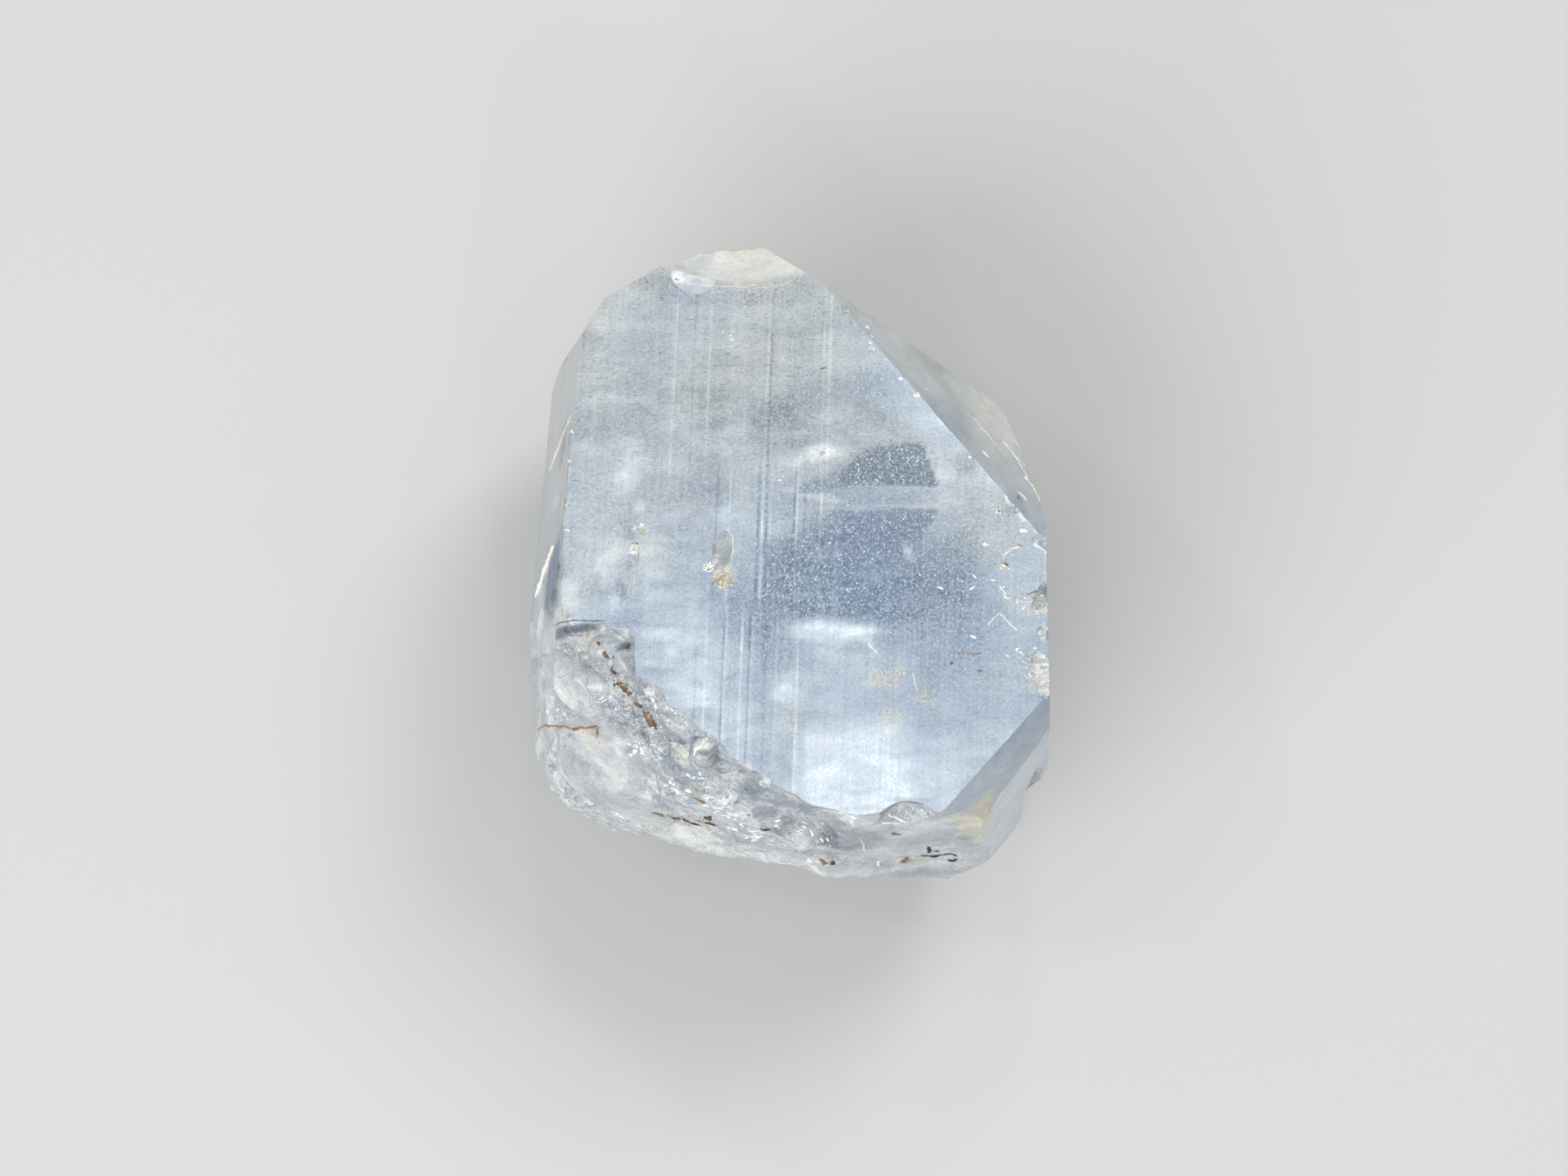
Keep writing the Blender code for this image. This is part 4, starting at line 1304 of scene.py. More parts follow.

# Dark seams where the breaks fold and overlap, painted shade lines along the folds, given like the cracks.
SEAMS = {
    "ledge_top": (0.045, 0.85, ((-12.69, -5.25, 18.59), (-11.66, -5.56, 20.62), (-10.69, -5.66, 20.97),
                                (-9.8, -5.61, 20.98))),
    "ledge_foot": (0.035, 0.6, ((-12.62, -6.01, 18.65), (-11.74, -6.18, 19.83), (-10.96, -6.24, 20.22))),
    "ledge_dot": (0.05, 1.0, ((-11.62, -5.96, 20.3), (-11.57, -5.97, 20.33), (-11.52, -5.98, 20.36))),
    "knob_side": (0.03, 0.6, ((-10.83, -6.43, 20.03), (-10.62, -5.93, 20.53), (-9.84, -5.81, 20.98))),
    "shard_rim": (0.035, 0.75, ((-9.47, -6.06, 20.81), (-8.72, -6.53, 20.58), (-8.45, -6.95, 20.66))),
    "valley_seam": (0.022, 0.6, ((-9.33, -7.53, 20.5), (-9.35, -7.76, 19.88), (-9.21, -8.17, 19.79),
                                 (-9.05, -8.62, 19.07), (-8.44, -9.13, 18.77), (-8.21, -9.64, 18.46),
                                 (-7.51, -10.22, 18.09), (-6.98, -10.83, 18.17), (-6.39, -11.45, 18.54),
                                 (-6.02, -12.38, 17.94), (-5.74, -12.71, 17.71))),
    "lump_arc": (0.03, 0.4, ((-14.34, -5.61, 10.39), (-13.76, -5.57, 13.12), (-13.07, -6.02, 15.36))),
    "lump_crease": (0.024, 0.3, ((-12.44, -8.1, 17.84), (-11.84, -7.92, 18.46), (-11.01, -7.82, 18.8))),
    "lump_side": (0.026, 0.45, ((-10.82, -8.14, 18.75), (-10.74, -8.92, 18.34), (-10.72, -9.45, 17.72),
                                (-10.33, -9.86, 16.8))),
    "lump_dash": (0.045, 0.6, ((-12.49, -12.06, 10.37), (-12.35, -12.2, 10.3), (-12.2, -12.34, 10.27))),
    "foot_seam": (0.03, 0.6, ((-7.18, -12.9, 15.81), (-6.95, -13.63, 15.32), (-7.09, -14.29, 13.89))),
    "foot_line": (0.04, 0.9, ((-6.54, -14.62, 13.15), (-6.35, -14.73, 12.74), (-5.6, -14.79, 11.87),
                              (-5.37, -14.92, 11.55))),
    "moon_rim": (0.035, 0.65, ((4.75, -16.75, 19.6), (4.95, -16.41, 20.06), (5.46, -15.84, 20.3),
                               (6.24, -15.62, 20.78), (7.08, -15.86, 20.58), (7.65, -16.23, 20.11),
                               (7.95, -16.6, 19.4))),
    "bevel_streak": (0.045, 0.55, ((12.68, 1.75, 20.2), (12.81, 1.5, 20.28), (12.95, 1.25, 20.3))),
    "left_crease": (0.036, 0.4, ((-12.05, 6.2, 20.9), (-12.08, 3.0, 20.9), (-12.12, 0.0, 20.9),
                                 (-12.2, -3.0, 20.9), (-12.3, -5.2, 20.7))),
    "knob_foot": (0.04, 0.65, ((-4.95, -13.25, 20.6), (-4.55, -13.62, 20.4), (-3.98, -13.5, 20.2),
                               (-3.66, -12.95, 20.5))),
    "west_line": (0.028, 0.55, ((-8.05, -1.75, 21.0), (-8.06, -2.15, 21.0), (-8.05, -2.6, 21.0))),
    "left_fold": (0.03, 0.4, ((-12.06, 5.9, 20.2), (-12.3, 4.6, 19.6), (-12.45, 3.6, 19.0))),
}

# Heaps of small grains: middle in millimetres, radii along x and y, how many, their size, and how rusty.
GRAIN_HEAPS = {
    "white_crust": ((-4.2, -2.62, 20.95), (0.3, 0.26), 34, 0.06, 0.1),
    "brown_crust": ((-3.45, -3.32, 20.9), (0.66, 0.34), 90, 0.058, 0.72),
    "west_pit": ((-7.9, -0.36, 20.9), (0.3, 0.24), 22, 0.05, 0.5),
    "west_pit_low": ((-8.16, -1.35, 20.9), (0.2, 0.16), 14, 0.045, 0.5),
    "north_fleck": ((7.18, 7.24, 20.9), (0.16, 0.1), 8, 0.055, 0.35),
    "east_fleck": ((11.52, 0.52, 20.95), (0.16, 0.13), 8, 0.055, 0.35),
    "east_pit": ((11.8, -2.7, 20.95), (0.26, 0.18), 18, 0.06, 0.35),
    "edge_crumbs_a": ((13.1, -4.7, 20.8), (0.6, 0.5), 9, 0.05, 0.2),
    "edge_crumbs_b": ((13.2, -8.3, 20.8), (0.5, 0.7), 9, 0.05, 0.25),
    "crease_flecks": ((-11.76, 5.13, 20.95), (0.08, 0.08), 4, 0.055, 0.05),
    "south_crumbs": ((6.1, -8.5, 20.95), (0.4, 0.3), 12, 0.05, 0.45),
    "left_rim_a": ((-11.9, 3.47, 20.95), (0.1, 0.12), 6, 0.055, 0.2),
    "left_rim_b": ((-11.9, 0.95, 20.95), (0.1, 0.2), 9, 0.055, 0.45),
    "left_rim_c": ((-11.92, -0.51, 20.95), (0.1, 0.08), 4, 0.055, 0.05),
    "white_fleck_a": ((10.82, -1.35, 20.95), (0.14, 0.1), 7, 0.055, 0.05),
    "white_fleck_b": ((12.96, -0.6, 20.95), (0.12, 0.1), 6, 0.055, 0.05),
    "valley_crumbs": ((-7.6, -10.4, 18.2), (1.6, 0.6), 26, 0.045, 0.45),
    "foot_crumbs": ((-5.2, -15.0, 13.0), (1.6, 0.5), 34, 0.05, 0.7),
    "window_crumbs": ((10.95, -15.55, 18.7), (0.22, 0.45), 16, 0.045, 0.7),
}

# Painted glints on the breaks and edges, small white films that stand for bright glints: middle in
# millimetres, radii that they are scattered over, how many, length and width, and lean in degrees.
PAINTED_GLINTS = {
    "fan": ((-8.2, -11.6, 16.4), (0.9, 0.45), 12, (0.16, 0.12), 0.0),
    "fan_low": ((-6.3, -13.7, 15.7), (1.3, 0.9), 12, (0.24, 0.07), 30.0),
    "valley": ((-6.45, -10.83, 19.9), (1.5, 0.9), 14, (0.1, 0.08), 40.0),
    "valley_west": ((-9.6, -9.14, 18.0), (0.8, 0.9), 8, (0.14, 0.05), 60.0),
    "apron_west": ((-3.93, -14.68, 15.7), (1.6, 1.0), 18, (0.26, 0.08), 22.0),
    "apron_top": ((-4.85, -13.6, 17.35), (0.9, 0.7), 9, (0.18, 0.08), 40.0),
    "apron_middle": ((-1.56, -15.89, 13.3), (1.7, 1.1), 22, (0.3, 0.08), 24.0),
    "apron_bridge": ((-2.74, -15.3, 15.1), (1.0, 0.9), 10, (0.24, 0.08), 28.0),
    "apron_east": ((0.6, -15.9, 15.4), (1.3, 0.9), 9, (0.2, 0.06), 10.0),
    "apron_foot": ((1.09, -16.95, 12.5), (0.5, 0.4), 3, (0.26, 0.08), 60.0),
    "base_foot": ((5.21, -17.11, 12.1), (0.35, 0.6), 3, (0.3, 0.08), -65.0),
    "base_middle": ((2.0, -16.6, 16.0), (1.1, 0.8), 6, (0.14, 0.07), -10.0),
    "toe": ((-9.92, -13.74, 10.3), (1.8, 0.4), 9, (0.2, 0.06), -10.0),
    "west_corner": ((-12.67, -8.34, 14.9), (0.9, 1.6), 7, (0.12, 0.06), 40.0),
    "lump_crack": ((-13.0, -9.2, 13.4), (0.7, 0.4), 6, (0.12, 0.07), 10.0),
    "right_a": ((12.6, -4.54, 21.0), (1.1, 1.6), 9, (0.11, 0.035), 20.0),
    "right_b": ((12.8, -8.0, 21.0), (0.9, 1.4), 7, (0.11, 0.035), -30.0),
    "right_edge": ((13.6, -6.0, 20.8), (0.4, 3.0), 14, (0.16, 0.06), 80.0),
    "bevel_a": ((6.34, 8.24, 21.0), (0.0, 0.0), 1, (0.11, 0.06), -20.0),
    "bevel_b": ((7.89, 7.88, 20.3), (0.0, 0.0), 1, (0.08, 0.07), 0.0),
    "bevel_c": ((7.17, 7.24, 21.0), (0.0, 0.0), 1, (0.16, 0.08), -40.0),
    "bevel_d": ((10.0, 3.67, 21.0), (0.0, 0.0), 1, (0.07, 0.06), 0.0),
    "east_speck": ((11.52, 0.52, 21.0), (0.0, 0.0), 1, (0.17, 0.07), 45.0),
    "east_speck_low": ((12.84, -0.6, 21.0), (0.0, 0.0), 1, (0.18, 0.08), 35.0),
    "east_stroke_a": ((10.2, -3.12, 21.0), (0.0, 0.0), 1, (0.2, 0.04), -28.0),
    "east_stroke_b": ((10.08, -3.78, 21.0), (0.0, 0.0), 1, (0.15, 0.05), 30.0),
    "east_stroke_c": ((8.34, -3.8, 21.0), (0.0, 0.0), 1, (0.16, 0.05), -25.0),
    "east_stroke_d": ((11.22, -3.35, 21.0), (0.0, 0.0), 1, (0.17, 0.04), -38.0),
    "east_dot": ((10.77, -1.34, 21.0), (0.0, 0.0), 1, (0.11, 0.07), -50.0),
    "east_pit_fleck": ((11.72, -2.58, 21.0), (0.0, 0.0), 1, (0.16, 0.12), -15.0),
    "v_foot_fleck": ((10.06, -6.52, 21.0), (0.0, 0.0), 1, (0.12, 0.07), -50.0),
    "edge_fleck": ((12.05, -4.35, 21.0), (0.0, 0.0), 1, (0.16, 0.06), -30.0),
    "slate_speck": ((8.43, 2.88, 21.0), (0.12, 0.08), 2, (0.07, 0.06), 0.0),
    "lamp_speck": ((0.1, 3.0, 21.0), (1.8, 1.0), 6, (0.036, 0.03), 0.0),
    "band_speck": ((2.3, 0.3, 21.0), (2.6, 2.0), 10, (0.036, 0.03), 0.0),
    "top_edge": ((4.6, 11.0, 20.9), (1.6, 0.5), 7, (0.1, 0.06), -45.0),
    "north_speck": ((-2.9, 10.4, 21.0), (1.4, 0.8), 7, (0.055, 0.035), 0.0),
    "glow_end": ((4.6, -7.05, 21.0), (0.0, 0.0), 1, (0.34, 0.055), -55.0),
    "glow_end_low": ((4.85, -7.35, 21.0), (0.0, 0.0), 1, (0.12, 0.06), -35.0),
    "tip_edge": ((-6.12, 14.15, 20.9), (0.0, 0.0), 1, (0.4, 0.06), -68.0),
    "tip_gleam": ((-1.87, 13.75, 20.8), (0.1, 0.06), 3, (0.16, 0.09), -10.0),
    "west_specks": ((-8.3, -0.6, 21.0), (1.8, 1.8), 10, (0.04, 0.032), 0.0),
}

# The way, up and leaning to the north, that the side way along a surface is square to.
NORTH_UP = np.array([[0.0, 0.35, 0.94]])


def heap_frame(middle):
    """The surface point at a place, with a side and an upward way along the surface: the side is
    square to the surface's normal and to the way up and north, and points east."""
    place, normal = on_skin(np.array([middle]) * MM)
    side = unit(np.cross(NORTH_UP, normal) * -1.0)
    side = side * np.sign(side[:, :1])
    return place[0], side[0], np.cross(normal, side)[0]


def ring_walls(grid):
    """Two triangles for each step between neighbouring rings of a grid of point numbers."""
    beside = np.roll(grid, -1, axis=1)
    lower = np.stack([grid[:-1], grid[1:], beside[1:]], axis=-1)
    upper = np.stack([grid[:-1], beside[1:], beside[:-1]], axis=-1)
    return np.concatenate([lower.reshape(-1, 3), upper.reshape(-1, 3)])


def hub_fan(hub, ring):
    """Triangles from a hub to each step of a ring."""
    return np.stack([np.full(len(ring), hub), ring, np.roll(ring, -1)], axis=1)


def closed_disc(rings, around):
    """Rings and angles of a disc's front and back grids, welded at the rim, and the faces that close
    them."""
    shares = np.arange(1, rings + 1) / rings
    turns = np.arange(around) * math.tau / around
    r, t = np.meshgrid(shares, turns, indexing="ij")
    r, t = r.ravel(), t.ravel()
    inner = r[:-around], t[:-around]
    radius = np.concatenate([[0.0], r, [0.0], inner[0]])
    angle = np.concatenate([[0.0], t, [0.0], inner[1]])
    front = 1 + np.arange(rings * around).reshape(rings, around)
    back_start = 1 + rings * around
    back = back_start + 1 + np.arange((rings - 1) * around).reshape(rings - 1, around)
    back = np.concatenate([back, front[-1:]])
    faces = []
    for grid, hub, order in ((front, 0, 1), (back, back_start, -1)):
        faces.append(np.concatenate([hub_fan(hub, grid[0]), ring_walls(grid)])[:, ::order])
    is_back = np.zeros(len(radius), bool)
    is_back[back_start:] = True
    return radius, angle, is_back, np.concatenate(faces)


def laid(start, along, across, turn, side, up):
    """Places along and across a start on the surface, turned by an angle from its side way."""
    start = start + (along * np.cos(turn) - across * np.sin(turn))[..., None] * side
    return start + (along * np.sin(turn) + across * np.cos(turn))[..., None] * up


# Thickness of a film and of a painted glint, in millimetres, and how many of them its back lies below the
# surface.
FILM_THICKNESS = 0.035
GLINT_THICKNESS = 0.025
BACK_DEPTH = 1.6


def film(middle, length, width, turn, seed):
    """A film of crust on the surface: a disc laid over it, whose front stands off by an uneven height
    that falls below the surface towards a torn rim, and whose back lies just inside."""
    radius, angle, is_back, faces = closed_disc(9, 40)
    place, side, up = heap_frame(middle)
    u = radius * np.cos(angle) * length * MM
    v = radius * np.sin(angle) * width * MM
    flat = laid(place, u, v, math.radians(turn), side, up)
    spot, normal = on_skin(drifted(flat, 0.3 * MM, 0.1 * MM, 140 + seed))
    height = 0.9 - 1.5 * radius ** 2 + 0.9 * noise_at(spot, 0.22 * MM, 150 + seed)
    height = height + 0.3 * noise_at(spot, 0.09 * MM, 160)
    height = np.where(is_back, -BACK_DEPTH, np.maximum(height, -1.5))
    return spot + normal * (height * FILM_THICKNESS * MM)[:, None], faces, radius


def tube(points, radius, around=8, steps=12):
    """A low tube along a smooth path on the surface, uneven by noise and tapered at both ends: its
    radius is r (1 - s^4)^0.5 with s from -1 to 1, and the path's points are blended by Catmull-Rom's
    cubic."""
    knots = np.array([points[0]] + list(points) + [points[-1]]) * MM
    path = []
    for first in range(len(knots) - 3):
        a, b, c, d = knots[first:first + 4]
        t = np.linspace(0.0, 1.0, steps, endpoint=first == len(knots) - 4)[:, None]
        bend = (2 * a - 5 * b + 4 * c - d) * t ** 2
        path.append(0.5 * (2 * b + (c - a) * t + bend + (3 * b - a - 3 * c + d) * t ** 3))
    path = np.concatenate(path)
    path = drifted(path, 0.25 * MM, 0.05 * MM, 171)
    spot, normal = on_skin(path)
    ahead = unit(np.gradient(spot, axis=0))
    side = unit(np.cross(ahead, normal))
    s = np.linspace(-1.0, 1.0, len(spot))
    uneven = 1.0 + 0.5 * noise_at(spot, 0.3 * MM, 172)
    size = radius * MM * np.sqrt(np.maximum(1.0 - s ** 4, 0.01)) * uneven
    t = np.arange(around) * math.tau / around
    ring = np.cos(t)[None, :, None] * side[:, None] + 0.7 * np.sin(t)[None, :, None] * normal[:, None]
    places = (spot[:, None] + size[:, None, None] * ring).reshape(-1, 3)
    grid = np.arange(len(places)).reshape(-1, around)
    return capped_tube(places, grid)


def capped_tube(places, grid):
    """Triangles round a grid of rings, with a hub that closes each end."""
    first, last = len(places), len(places) + 1
    places = np.concatenate([places, places[grid[0]].mean(0)[None], places[grid[-1]].mean(0)[None]])
    start = hub_fan(first, grid[0])
    end = hub_fan(last, grid[-1])[:, [0, 2, 1]]
    return places, np.concatenate([start, end, ring_walls(grid)])


def scattered(middle, radii, count, seed, stream):
    """Places scattered over an ellipse of the surface, closer in its middle, the side and upward way
    along it, and six numbers between 0 and 1 for each place."""
    place, side, up = heap_frame(middle)
    key = np.stack([np.arange(count), np.full(count, seed), np.zeros(count, int)], axis=1)
    pick = [lattice_number(key, stream + k) for k in range(6)]
    far = pick[0] ** 0.7
    turn = pick[1] * math.tau
    spots = place + (far * np.cos(turn) * radii[0] * MM)[:, None] * side
    return spots + (far * np.sin(turn) * radii[1] * MM)[:, None] * up, side, up, pick


def glint_flakes(middle, radii, count, size, lean, seed):
    """Painted glints scattered over an ellipse of the surface: small white films, each of its own size and
    turned a little its own way."""
    radius, angle, is_back, faces = closed_disc(3, 10)
    spots, side, up, pick = scattered(middle, radii, count, seed, 230)
    t = np.radians(lean + 60.0 * (pick[4] - 0.5) * (count > 1))[:, None]
    u = radius * np.cos(angle) * (size[0] * MM * (0.5 + pick[2]))[:, None]
    v = radius * np.sin(angle) * (size[1] * MM * (0.6 + 0.8 * pick[3]))[:, None]
    flat = laid(spots[:, None], u, v, t, side, up)
    spot, normal = on_skin(drifted(flat.reshape(-1, 3), 0.14 * MM, 0.11 * MM, 240))
    height = np.where(is_back, -BACK_DEPTH, 1.0 - 1.3 * radius ** 2) * GLINT_THICKNESS * MM
    height = np.tile(height, count)
    faces = (faces[None] + np.arange(count)[:, None, None] * len(radius)).reshape(-1, 3)
    return spot + normal * height[:, None], faces, np.repeat(pick[5], len(radius))


def heap(middle, radii, count, size, seed):
    """A heap of grains: small rough ellipsoids scattered over an ellipse of the surface, closer in its
    middle."""
    spots, _, _, pick = scattered(middle, radii, count, seed, 180)
    spots, normal = on_skin(spots)
    v, u = np.meshgrid(np.linspace(0.15, math.pi - 0.15, 5), np.arange(7) * math.tau / 7, indexing="ij")
    ball = np.stack([np.sin(v) * np.cos(u), np.sin(v) * np.sin(u), np.cos(v)], axis=-1).reshape(-1, 3)
    ball_grid = np.arange(len(ball)).reshape(v.shape)
    ball, ball_faces = capped_tube(ball, ball_grid)
    scale = size * MM * (0.45 + 0.9 * pick[2])
    build = np.stack([0.8 + 0.6 * pick[3], 0.7 + 0.5 * pick[4], 0.6 + 0.4 * pick[5]], axis=1)
    shape = ball[None] * build[:, None]
    apart = (shape * 0.7 + np.arange(count)[:, None, None] * 3.1).reshape(-1, 3)
    rough = 1.0 + 0.3 * noise_at(apart, 0.8, 190)
    shape = shape * rough.reshape(count, -1, 1) * scale[:, None, None]
    places = spots[:, None] + shape + normal[:, None] * scale[:, None, None] * 0.15
    faces = (ball_faces[None] + np.arange(count)[:, None, None] * len(ball)).reshape(-1, 3)
    return places.reshape(-1, 3), faces, np.repeat(pick[2], len(ball))


def joined(parts):
    """Points, faces and one number a point of several shapes, as one."""
    counts = np.cumsum([0] + [len(part[0]) for part in parts])
    points = np.concatenate([part[0] for part in parts])
    faces = np.concatenate([part[1] + start for part, start in zip(parts, counts)])
    return points, faces, np.concatenate([np.broadcast_to(part[2], len(part[0])) for part in parts])


# The pieces end this far inside the solid's box.
EASE = 0.002 * MM


def joined_piece(name, parts, material, smooth=True):
    """One piece of several shapes, kept inside the solid's box, with a tone at each point."""
    points, faces, tone = joined(parts)
    points = np.clip(points, np.array(LOW) + EASE, np.array(HIGH) - EASE)
    mesh = new_mesh(name, points, faces, smooth)
    set_numbers(mesh, "tone", tone, "POINT")
    return new_piece(name, mesh, material)


# Earthy fillings, the painted shade of the seams and the pale of the painted glints: the pale and the dark
# tone, and the size of their clouds in millimetres.
IRON = ((0.24, 0.125, 0.05), (0.03, 0.016, 0.01), 0.16)
MANGANESE = ((0.03, 0.018, 0.03), (0.008, 0.005, 0.01), 0.1)
CRACK_AND_GLINT_FILLING = ((0.86, 0.83, 0.74), (0.24, 0.11, 0.05), 0.2)
SEAM_SHADOW = ((0.42, 0.42, 0.4), (0.11, 0.105, 0.1), 0.2)
CRUST = ((0.9, 0.88, 0.8), (0.34, 0.25, 0.13), 0.12)
CRUST_DEPTH = 0.03 * MM

# Tones of the painted glints, grey to white.
GLINT_TONES = ((0.62, 0.68, 0.74), (0.98, 0.98, 0.96))
FLASH_TONE = (0.93, 0.97, 1.0)


def stain_finish(name, pale, dark, size):
    """A dry earthy crust, also used for the seams' painted shade and for the painted glints: two tones in
    small clouds, the darker one where the tone is high.
    """
    finish = Finish(name)
    tone = finish.attribute("tone")
    cloud = finish.noise((size, size, size), detail=3.0, roughness=0.6)
    fine = finish.noise((0.05, 0.05, 0.05), detail=2.0)
    mix = (tone + (cloud - 0.5) * 1.4 + (fine - 0.5) * 0.5).clamp()
    normal = finish.bump(cloud + fine * 0.4, CRUST_DEPTH, 0.7)
    shader = {"Base Color": finish.blend(mix, pale, dark), "Roughness": 0.45 + fine * 0.3, "Normal": normal}
    return finish.surface(finish.add("BsdfPrincipled", **shader))


def add_stains():
    """The iron stains, darker towards their rims, and the black dashes."""
    parts = []
    for seed, (middle, length, width, turn, dark) in enumerate(STAINS.values()):
        places, faces, radius = film(middle, length, width, turn, seed)
        parts.append((places, faces, np.clip(dark + 0.9 * (radius - 0.55), 0.0, 1.0)))
    joined_piece("iron_stains", parts, stain_finish("iron_stain", *IRON))
    parts = [tube(path, radius) + (0.5,) for radius, path in DASHES.values()]
    joined_piece("black_dashes", parts, stain_finish("manganese", *MANGANESE))


def add_cracks_and_glints():
    """The hairline cracks, from white to rusty, and the painted glints among them."""
    parts = [tube(path, radius) + (rust,) for radius, rust, path in CRACKS_AND_GLINTS.values()]
    joined_piece("hairline_cracks_and_glints", parts, stain_finish("crack_filling_and_glints", *CRACK_AND_GLINT_FILLING))


def add_seams():
    """The seams of the breaks, painted shade lines from grey to black."""
    parts = [tube(path, radius) + (dark,) for radius, dark, path in SEAMS.values()]
    joined_piece("shaded_seams", parts, stain_finish("seam_shadow", *SEAM_SHADOW))


def add_painted_glints():
    """The painted glints, from grey to white."""
    parts = [glint_flakes(*row, seed) for seed, row in enumerate(PAINTED_GLINTS.values())]
    finish = Finish("painted_glint_flakes")
    white = finish.blend(finish.attribute("tone"), *GLINT_TONES)
    shader = finish.add("BsdfPrincipled", **{"Base Color": white, "Roughness": 0.22})
    joined_piece("painted_glint_flakes", parts, finish.surface(shader))


# Cleavage flashes, flat cracks square to the prism and sealed in the crystal, which throw the light back:
# middle and the two radii in millimetres, lean in degrees and how bright.
FLASHES = {
    "long_flash": ((2.3, -6.5, 18.3), (2.7, 2.3), 5.0, 0.95),
    "short_flash": ((0.1, -9.9, 18.5), (1.2, 1.9), 3.0, 0.7),
    "lamp_flash": ((1.4, 3.5, 18.8), (1.9, 1.7), -3.0, 0.8),
    "west_flash": ((-8.4, 2.7, 17.6), (1.2, 2.6), 4.0, 0.6),
    "middle_flash": ((-2.5, 0.3, 17.9), (1.6, 2.2), 2.0, 0.55),
    "band_flash": ((5.2, 0.9, 16.9), (3.4, 3.0), 3.0, 0.45),
    "north_flash": ((0.5, 10.2, 13.5), (4.6, 4.6), -2.0, 0.4),
    "south_flash": ((5.0, -13.0, 14.0), (4.4, 4.8), 4.0, 0.6),
}


# Half the thickness of a flash in its middle, in millimetres.
FLASH_BULGE = 0.012


def flash(middle, radii, lean, seed):
    """A lens-shaped crack: a disc square to the prism, with a torn rim, buckled by noise, whose two
    sides bulge by b (1 - r^2)."""
    radius, angle, is_back, faces = closed_disc(10, 48)
    turn, tip = PRISM_TURN, math.radians(lean)
    across = np.array([math.cos(turn), -math.sin(turn), 0.0])
    along = np.array([math.sin(turn), math.cos(turn), 0.0])
    up = np.array([0.0, 0.0, 1.0]) * math.cos(tip) + along * math.sin(tip)
    out = np.cross(up, across)
    wide = (radius * np.cos(angle) * radii[0])[:, None] * across
    flat = np.array(middle) + (wide + (radius * np.sin(angle) * radii[1])[:, None] * up)
    flat = drifted(flat * MM, 1.6 * MM, 0.3 * MM, 200 + seed)
    flat = flat + (0.2 * MM * noise_at(flat, 1.1 * MM, 210 + seed))[:, None] * out
    bulge = np.where(is_back, -FLASH_BULGE, FLASH_BULGE) * MM * (1.0 - radius ** 2)
    return flat + bulge[:, None] * out, faces


def flash_finish():
    """A silvery film that is patchy and see-through, and thins out to its rim."""
    finish = Finish("cleavage_film")
    patches = finish.noise((0.9, 0.9, 0.7), detail=3.0, roughness=0.6)
    streaks = finish.noise((0.25, 1.0, 1.6), turn=PRISM_TURN, detail=1.0)
    alpha = (finish.attribute("tone") * (patches.step(0.35, 0.7) * 0.8 + streaks * 0.4)).clamp()
    shader = {"Base Color": FLASH_TONE, "Roughness": 0.3, "Alpha": alpha}
    return finish.surface(finish.add("BsdfPrincipled", **shader))


def add_flashes():
    """The cleavage flashes, each fading towards its rim."""
    parts = []
    for seed, (middle, radii, lean, bright) in enumerate(FLASHES.values()):
        places, faces = flash(middle, radii, lean, seed)
        reach = np.array([radii[0], radii[0], radii[1]])
        far = np.linalg.norm((places / MM - np.array(middle)) / reach, axis=1)
        parts.append((places, faces, bright * (1.0 - rise(far, 0.35, 1.0))))
    joined_piece("cleavage_flashes", parts, flash_finish())


def add_grains():
    """The heaps of flat-sided crust grains."""
    parts = []
    for seed, (middle, radii, count, size, rust) in enumerate(GRAIN_HEAPS.values()):
        places, faces, tone = heap(middle, radii, count, size, seed)
        parts.append((places, faces, np.clip(rust + 0.5 * (tone - 0.5), 0.0, 1.0)))
    joined_piece("crust_grains", parts, stain_finish("crust", *CRUST), smooth=False)


# --------------------------------------------------------------------------------------------------
# Studio
# --------------------------------------------------------------------------------------------------

CAMERA_TARGET = Vector((-0.114, -0.657, 10.0)) * MM
CAMERA_ELEVATION = math.radians(74.0)
CAMERA_DISTANCE = 200.0 * MM
CAMERA_LENS = 80.0
CAMERA_SENSOR = 36.0
CAMERA_NEAR = 10.0 * MM


def add_camera():
    """A camera that looks down on the crystal, a little from the south."""
    data = bpy.data.cameras.new("camera")
    data.lens = CAMERA_LENS
    data.sensor_width = CAMERA_SENSOR
    data.clip_start = CAMERA_NEAR
    camera = bpy.data.objects.new("camera", data)
    back = Vector((0.0, -math.cos(CAMERA_ELEVATION), math.sin(CAMERA_ELEVATION)))
    camera.location = CAMERA_TARGET + back * CAMERA_DISTANCE
    camera.rotation_euler = back.to_track_quat("Z", "Y").to_euler()
    bpy.context.scene.collection.objects.link(camera)
    bpy.context.scene.camera = camera


# Soft lamps and three small bright ones for glints: place and size in metres, watts and colour.
LIGHTS = {
    "key": ((0.22, 0.24, 0.42), (0.2, 0.2), 1.15, (1.0, 0.98, 0.95)),
    "front": ((-0.26, -0.36, 0.28), (0.42, 0.42), 2.6, (0.98, 0.99, 1.0)),
    "glint_west": ((-0.3, 0.05, 0.45), (0.03, 0.03), 0.14, (1.0, 1.0, 1.0)),
    "glint_south": ((0.1, -0.38, 0.34), (0.03, 0.03), 0.14, (1.0, 1.0, 1.0)),
    "glint_north": ((0.02, 0.3, 0.4), (0.03, 0.03), 0.14, (1.0, 1.0, 1.0)),
}


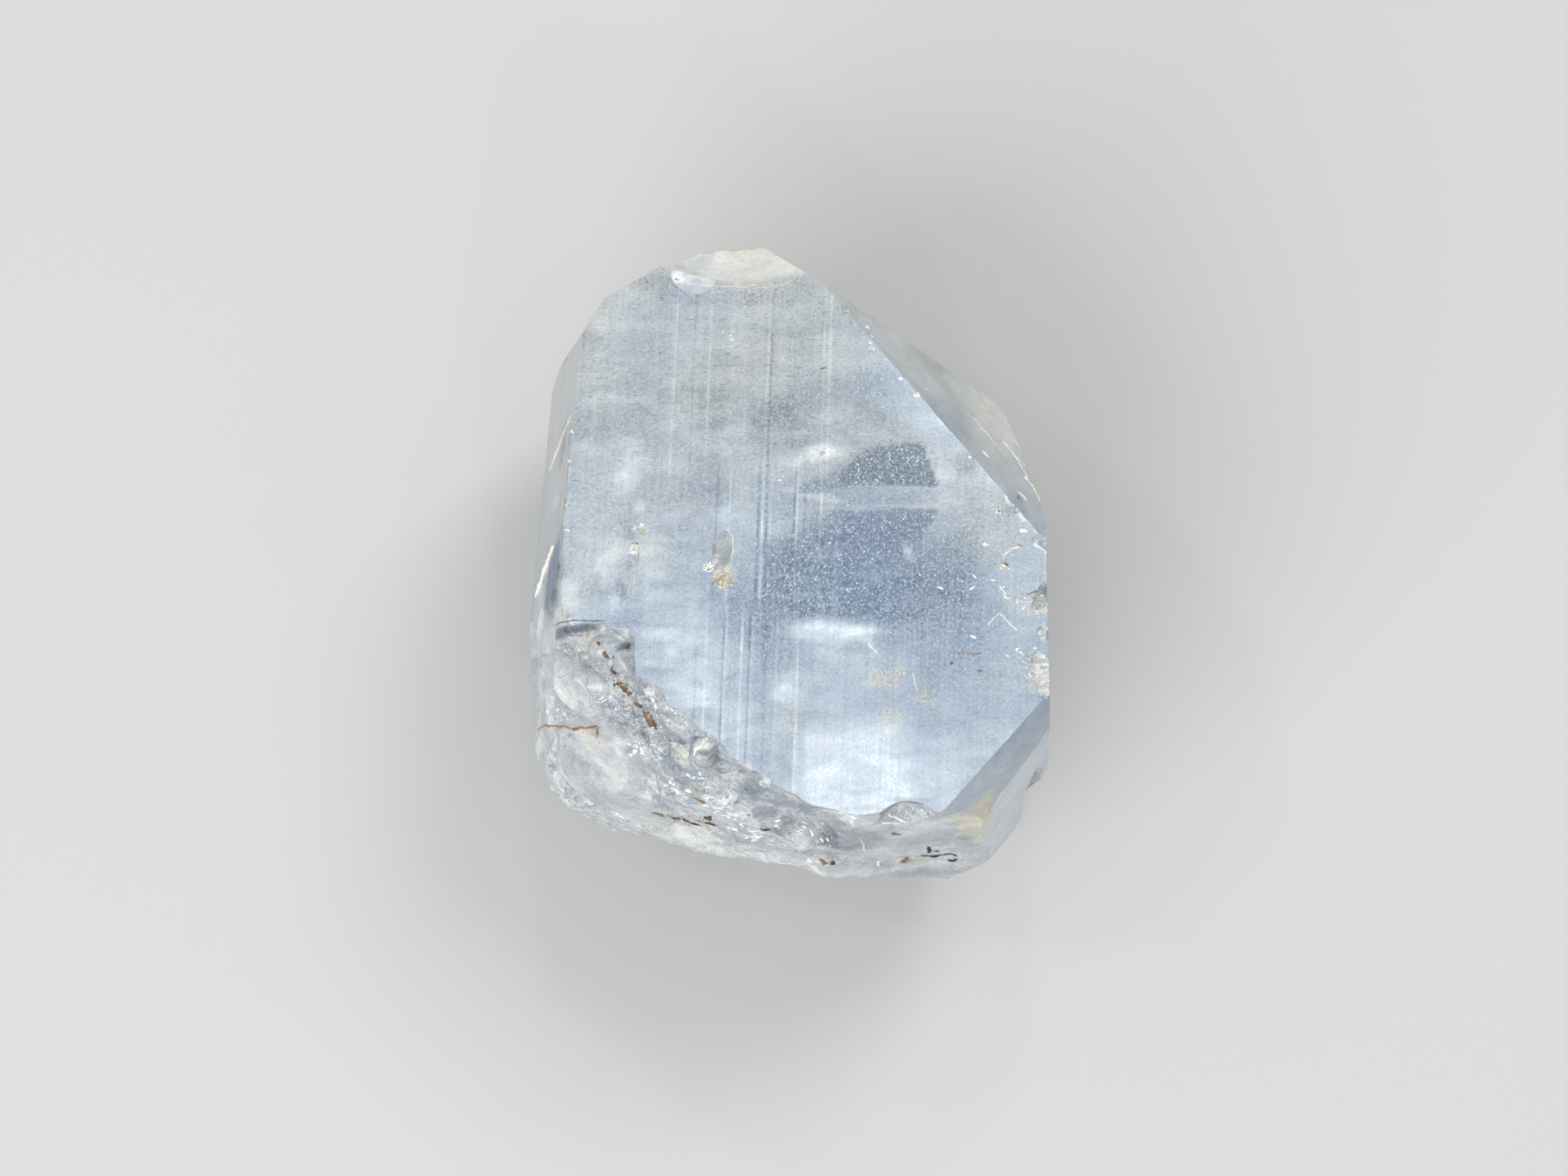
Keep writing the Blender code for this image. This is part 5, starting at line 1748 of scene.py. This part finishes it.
def add_light(name, place, size, watts, colour):
    """A light with a flat face that looks at the crystal's middle."""
    data = bpy.data.lights.new(name, "AREA")
    data.shape = "RECTANGLE"
    data.size, data.size_y = size
    data.energy = watts
    data.color = colour
    light = bpy.data.objects.new(name, data)
    light.location = place
    aim = Vector(place) - Vector(MIDDLE)
    light.rotation_euler = aim.to_track_quat("Z", "Y").to_euler()
    bpy.context.scene.collection.objects.link(light)


# Half the floor's side in metres, and its colour.
FLOOR_REACH = 1.5
FLOOR_TONE = (0.49, 0.475, 0.46)


def add_floor():
    """A wide matt floor, which belongs to the studio."""
    corners = np.array([(-1.0, -1.0, 0.0), (1.0, -1.0, 0.0), (1.0, 1.0, 0.0), (-1.0, 1.0, 0.0)])
    mesh = new_mesh("floor", corners * FLOOR_REACH, np.array([[0, 1, 2, 3]]), smooth=False)
    finish = Finish("studio_floor")
    shader = finish.add("BsdfPrincipled", **{"Base Color": FLOOR_TONE, "Roughness": 0.85})
    mesh.materials.append(finish.surface(shader))
    floor = bpy.data.objects.new("floor", mesh)
    bpy.context.scene.collection.objects.link(floor)


WALL_GREY = (0.13, 0.145, 0.17)
CEILING_WHITE = (0.9, 0.96, 1.0)
ROOM_STRENGTH = 0.86


def add_world():
    """A soft room: bright overhead, falling to dark grey walls that give the clear stone its edges."""
    world = bpy.data.worlds.new("studio")
    world.use_nodes = True
    tree = world.node_tree
    background = next(n for n in tree.nodes if n.type == "BACKGROUND")
    way = add_node(tree, "TexCoord", None, "Generated")
    height = add_node(tree, "SeparateXYZ", None, "Z", Vector=way)
    mix = {"Factor_Float": height.step(0.1, 0.8), "A_Color": WALL_GREY, "B_Color": CEILING_WHITE}
    room = add_node(tree, "Mix", dict(data_type="RGBA"), MIXED_COLOUR, **mix)
    feed(tree, background.inputs["Color"], room)
    background.inputs["Strength"].default_value = ROOM_STRENGTH
    bpy.context.scene.world = world


bpy.context.scene.view_settings.view_transform = "Standard"
add_camera()
skin = new_piece("crystal_skin", crystal_skin(), crystal_finish())
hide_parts(NODE)
add_stains()
add_cracks_and_glints()
add_seams()
add_painted_glints()
add_flashes()
add_grains()
add_floor()
add_world()
for name, (place, size, watts, colour) in LIGHTS.items():
    add_light(name, place, size, watts, colour)
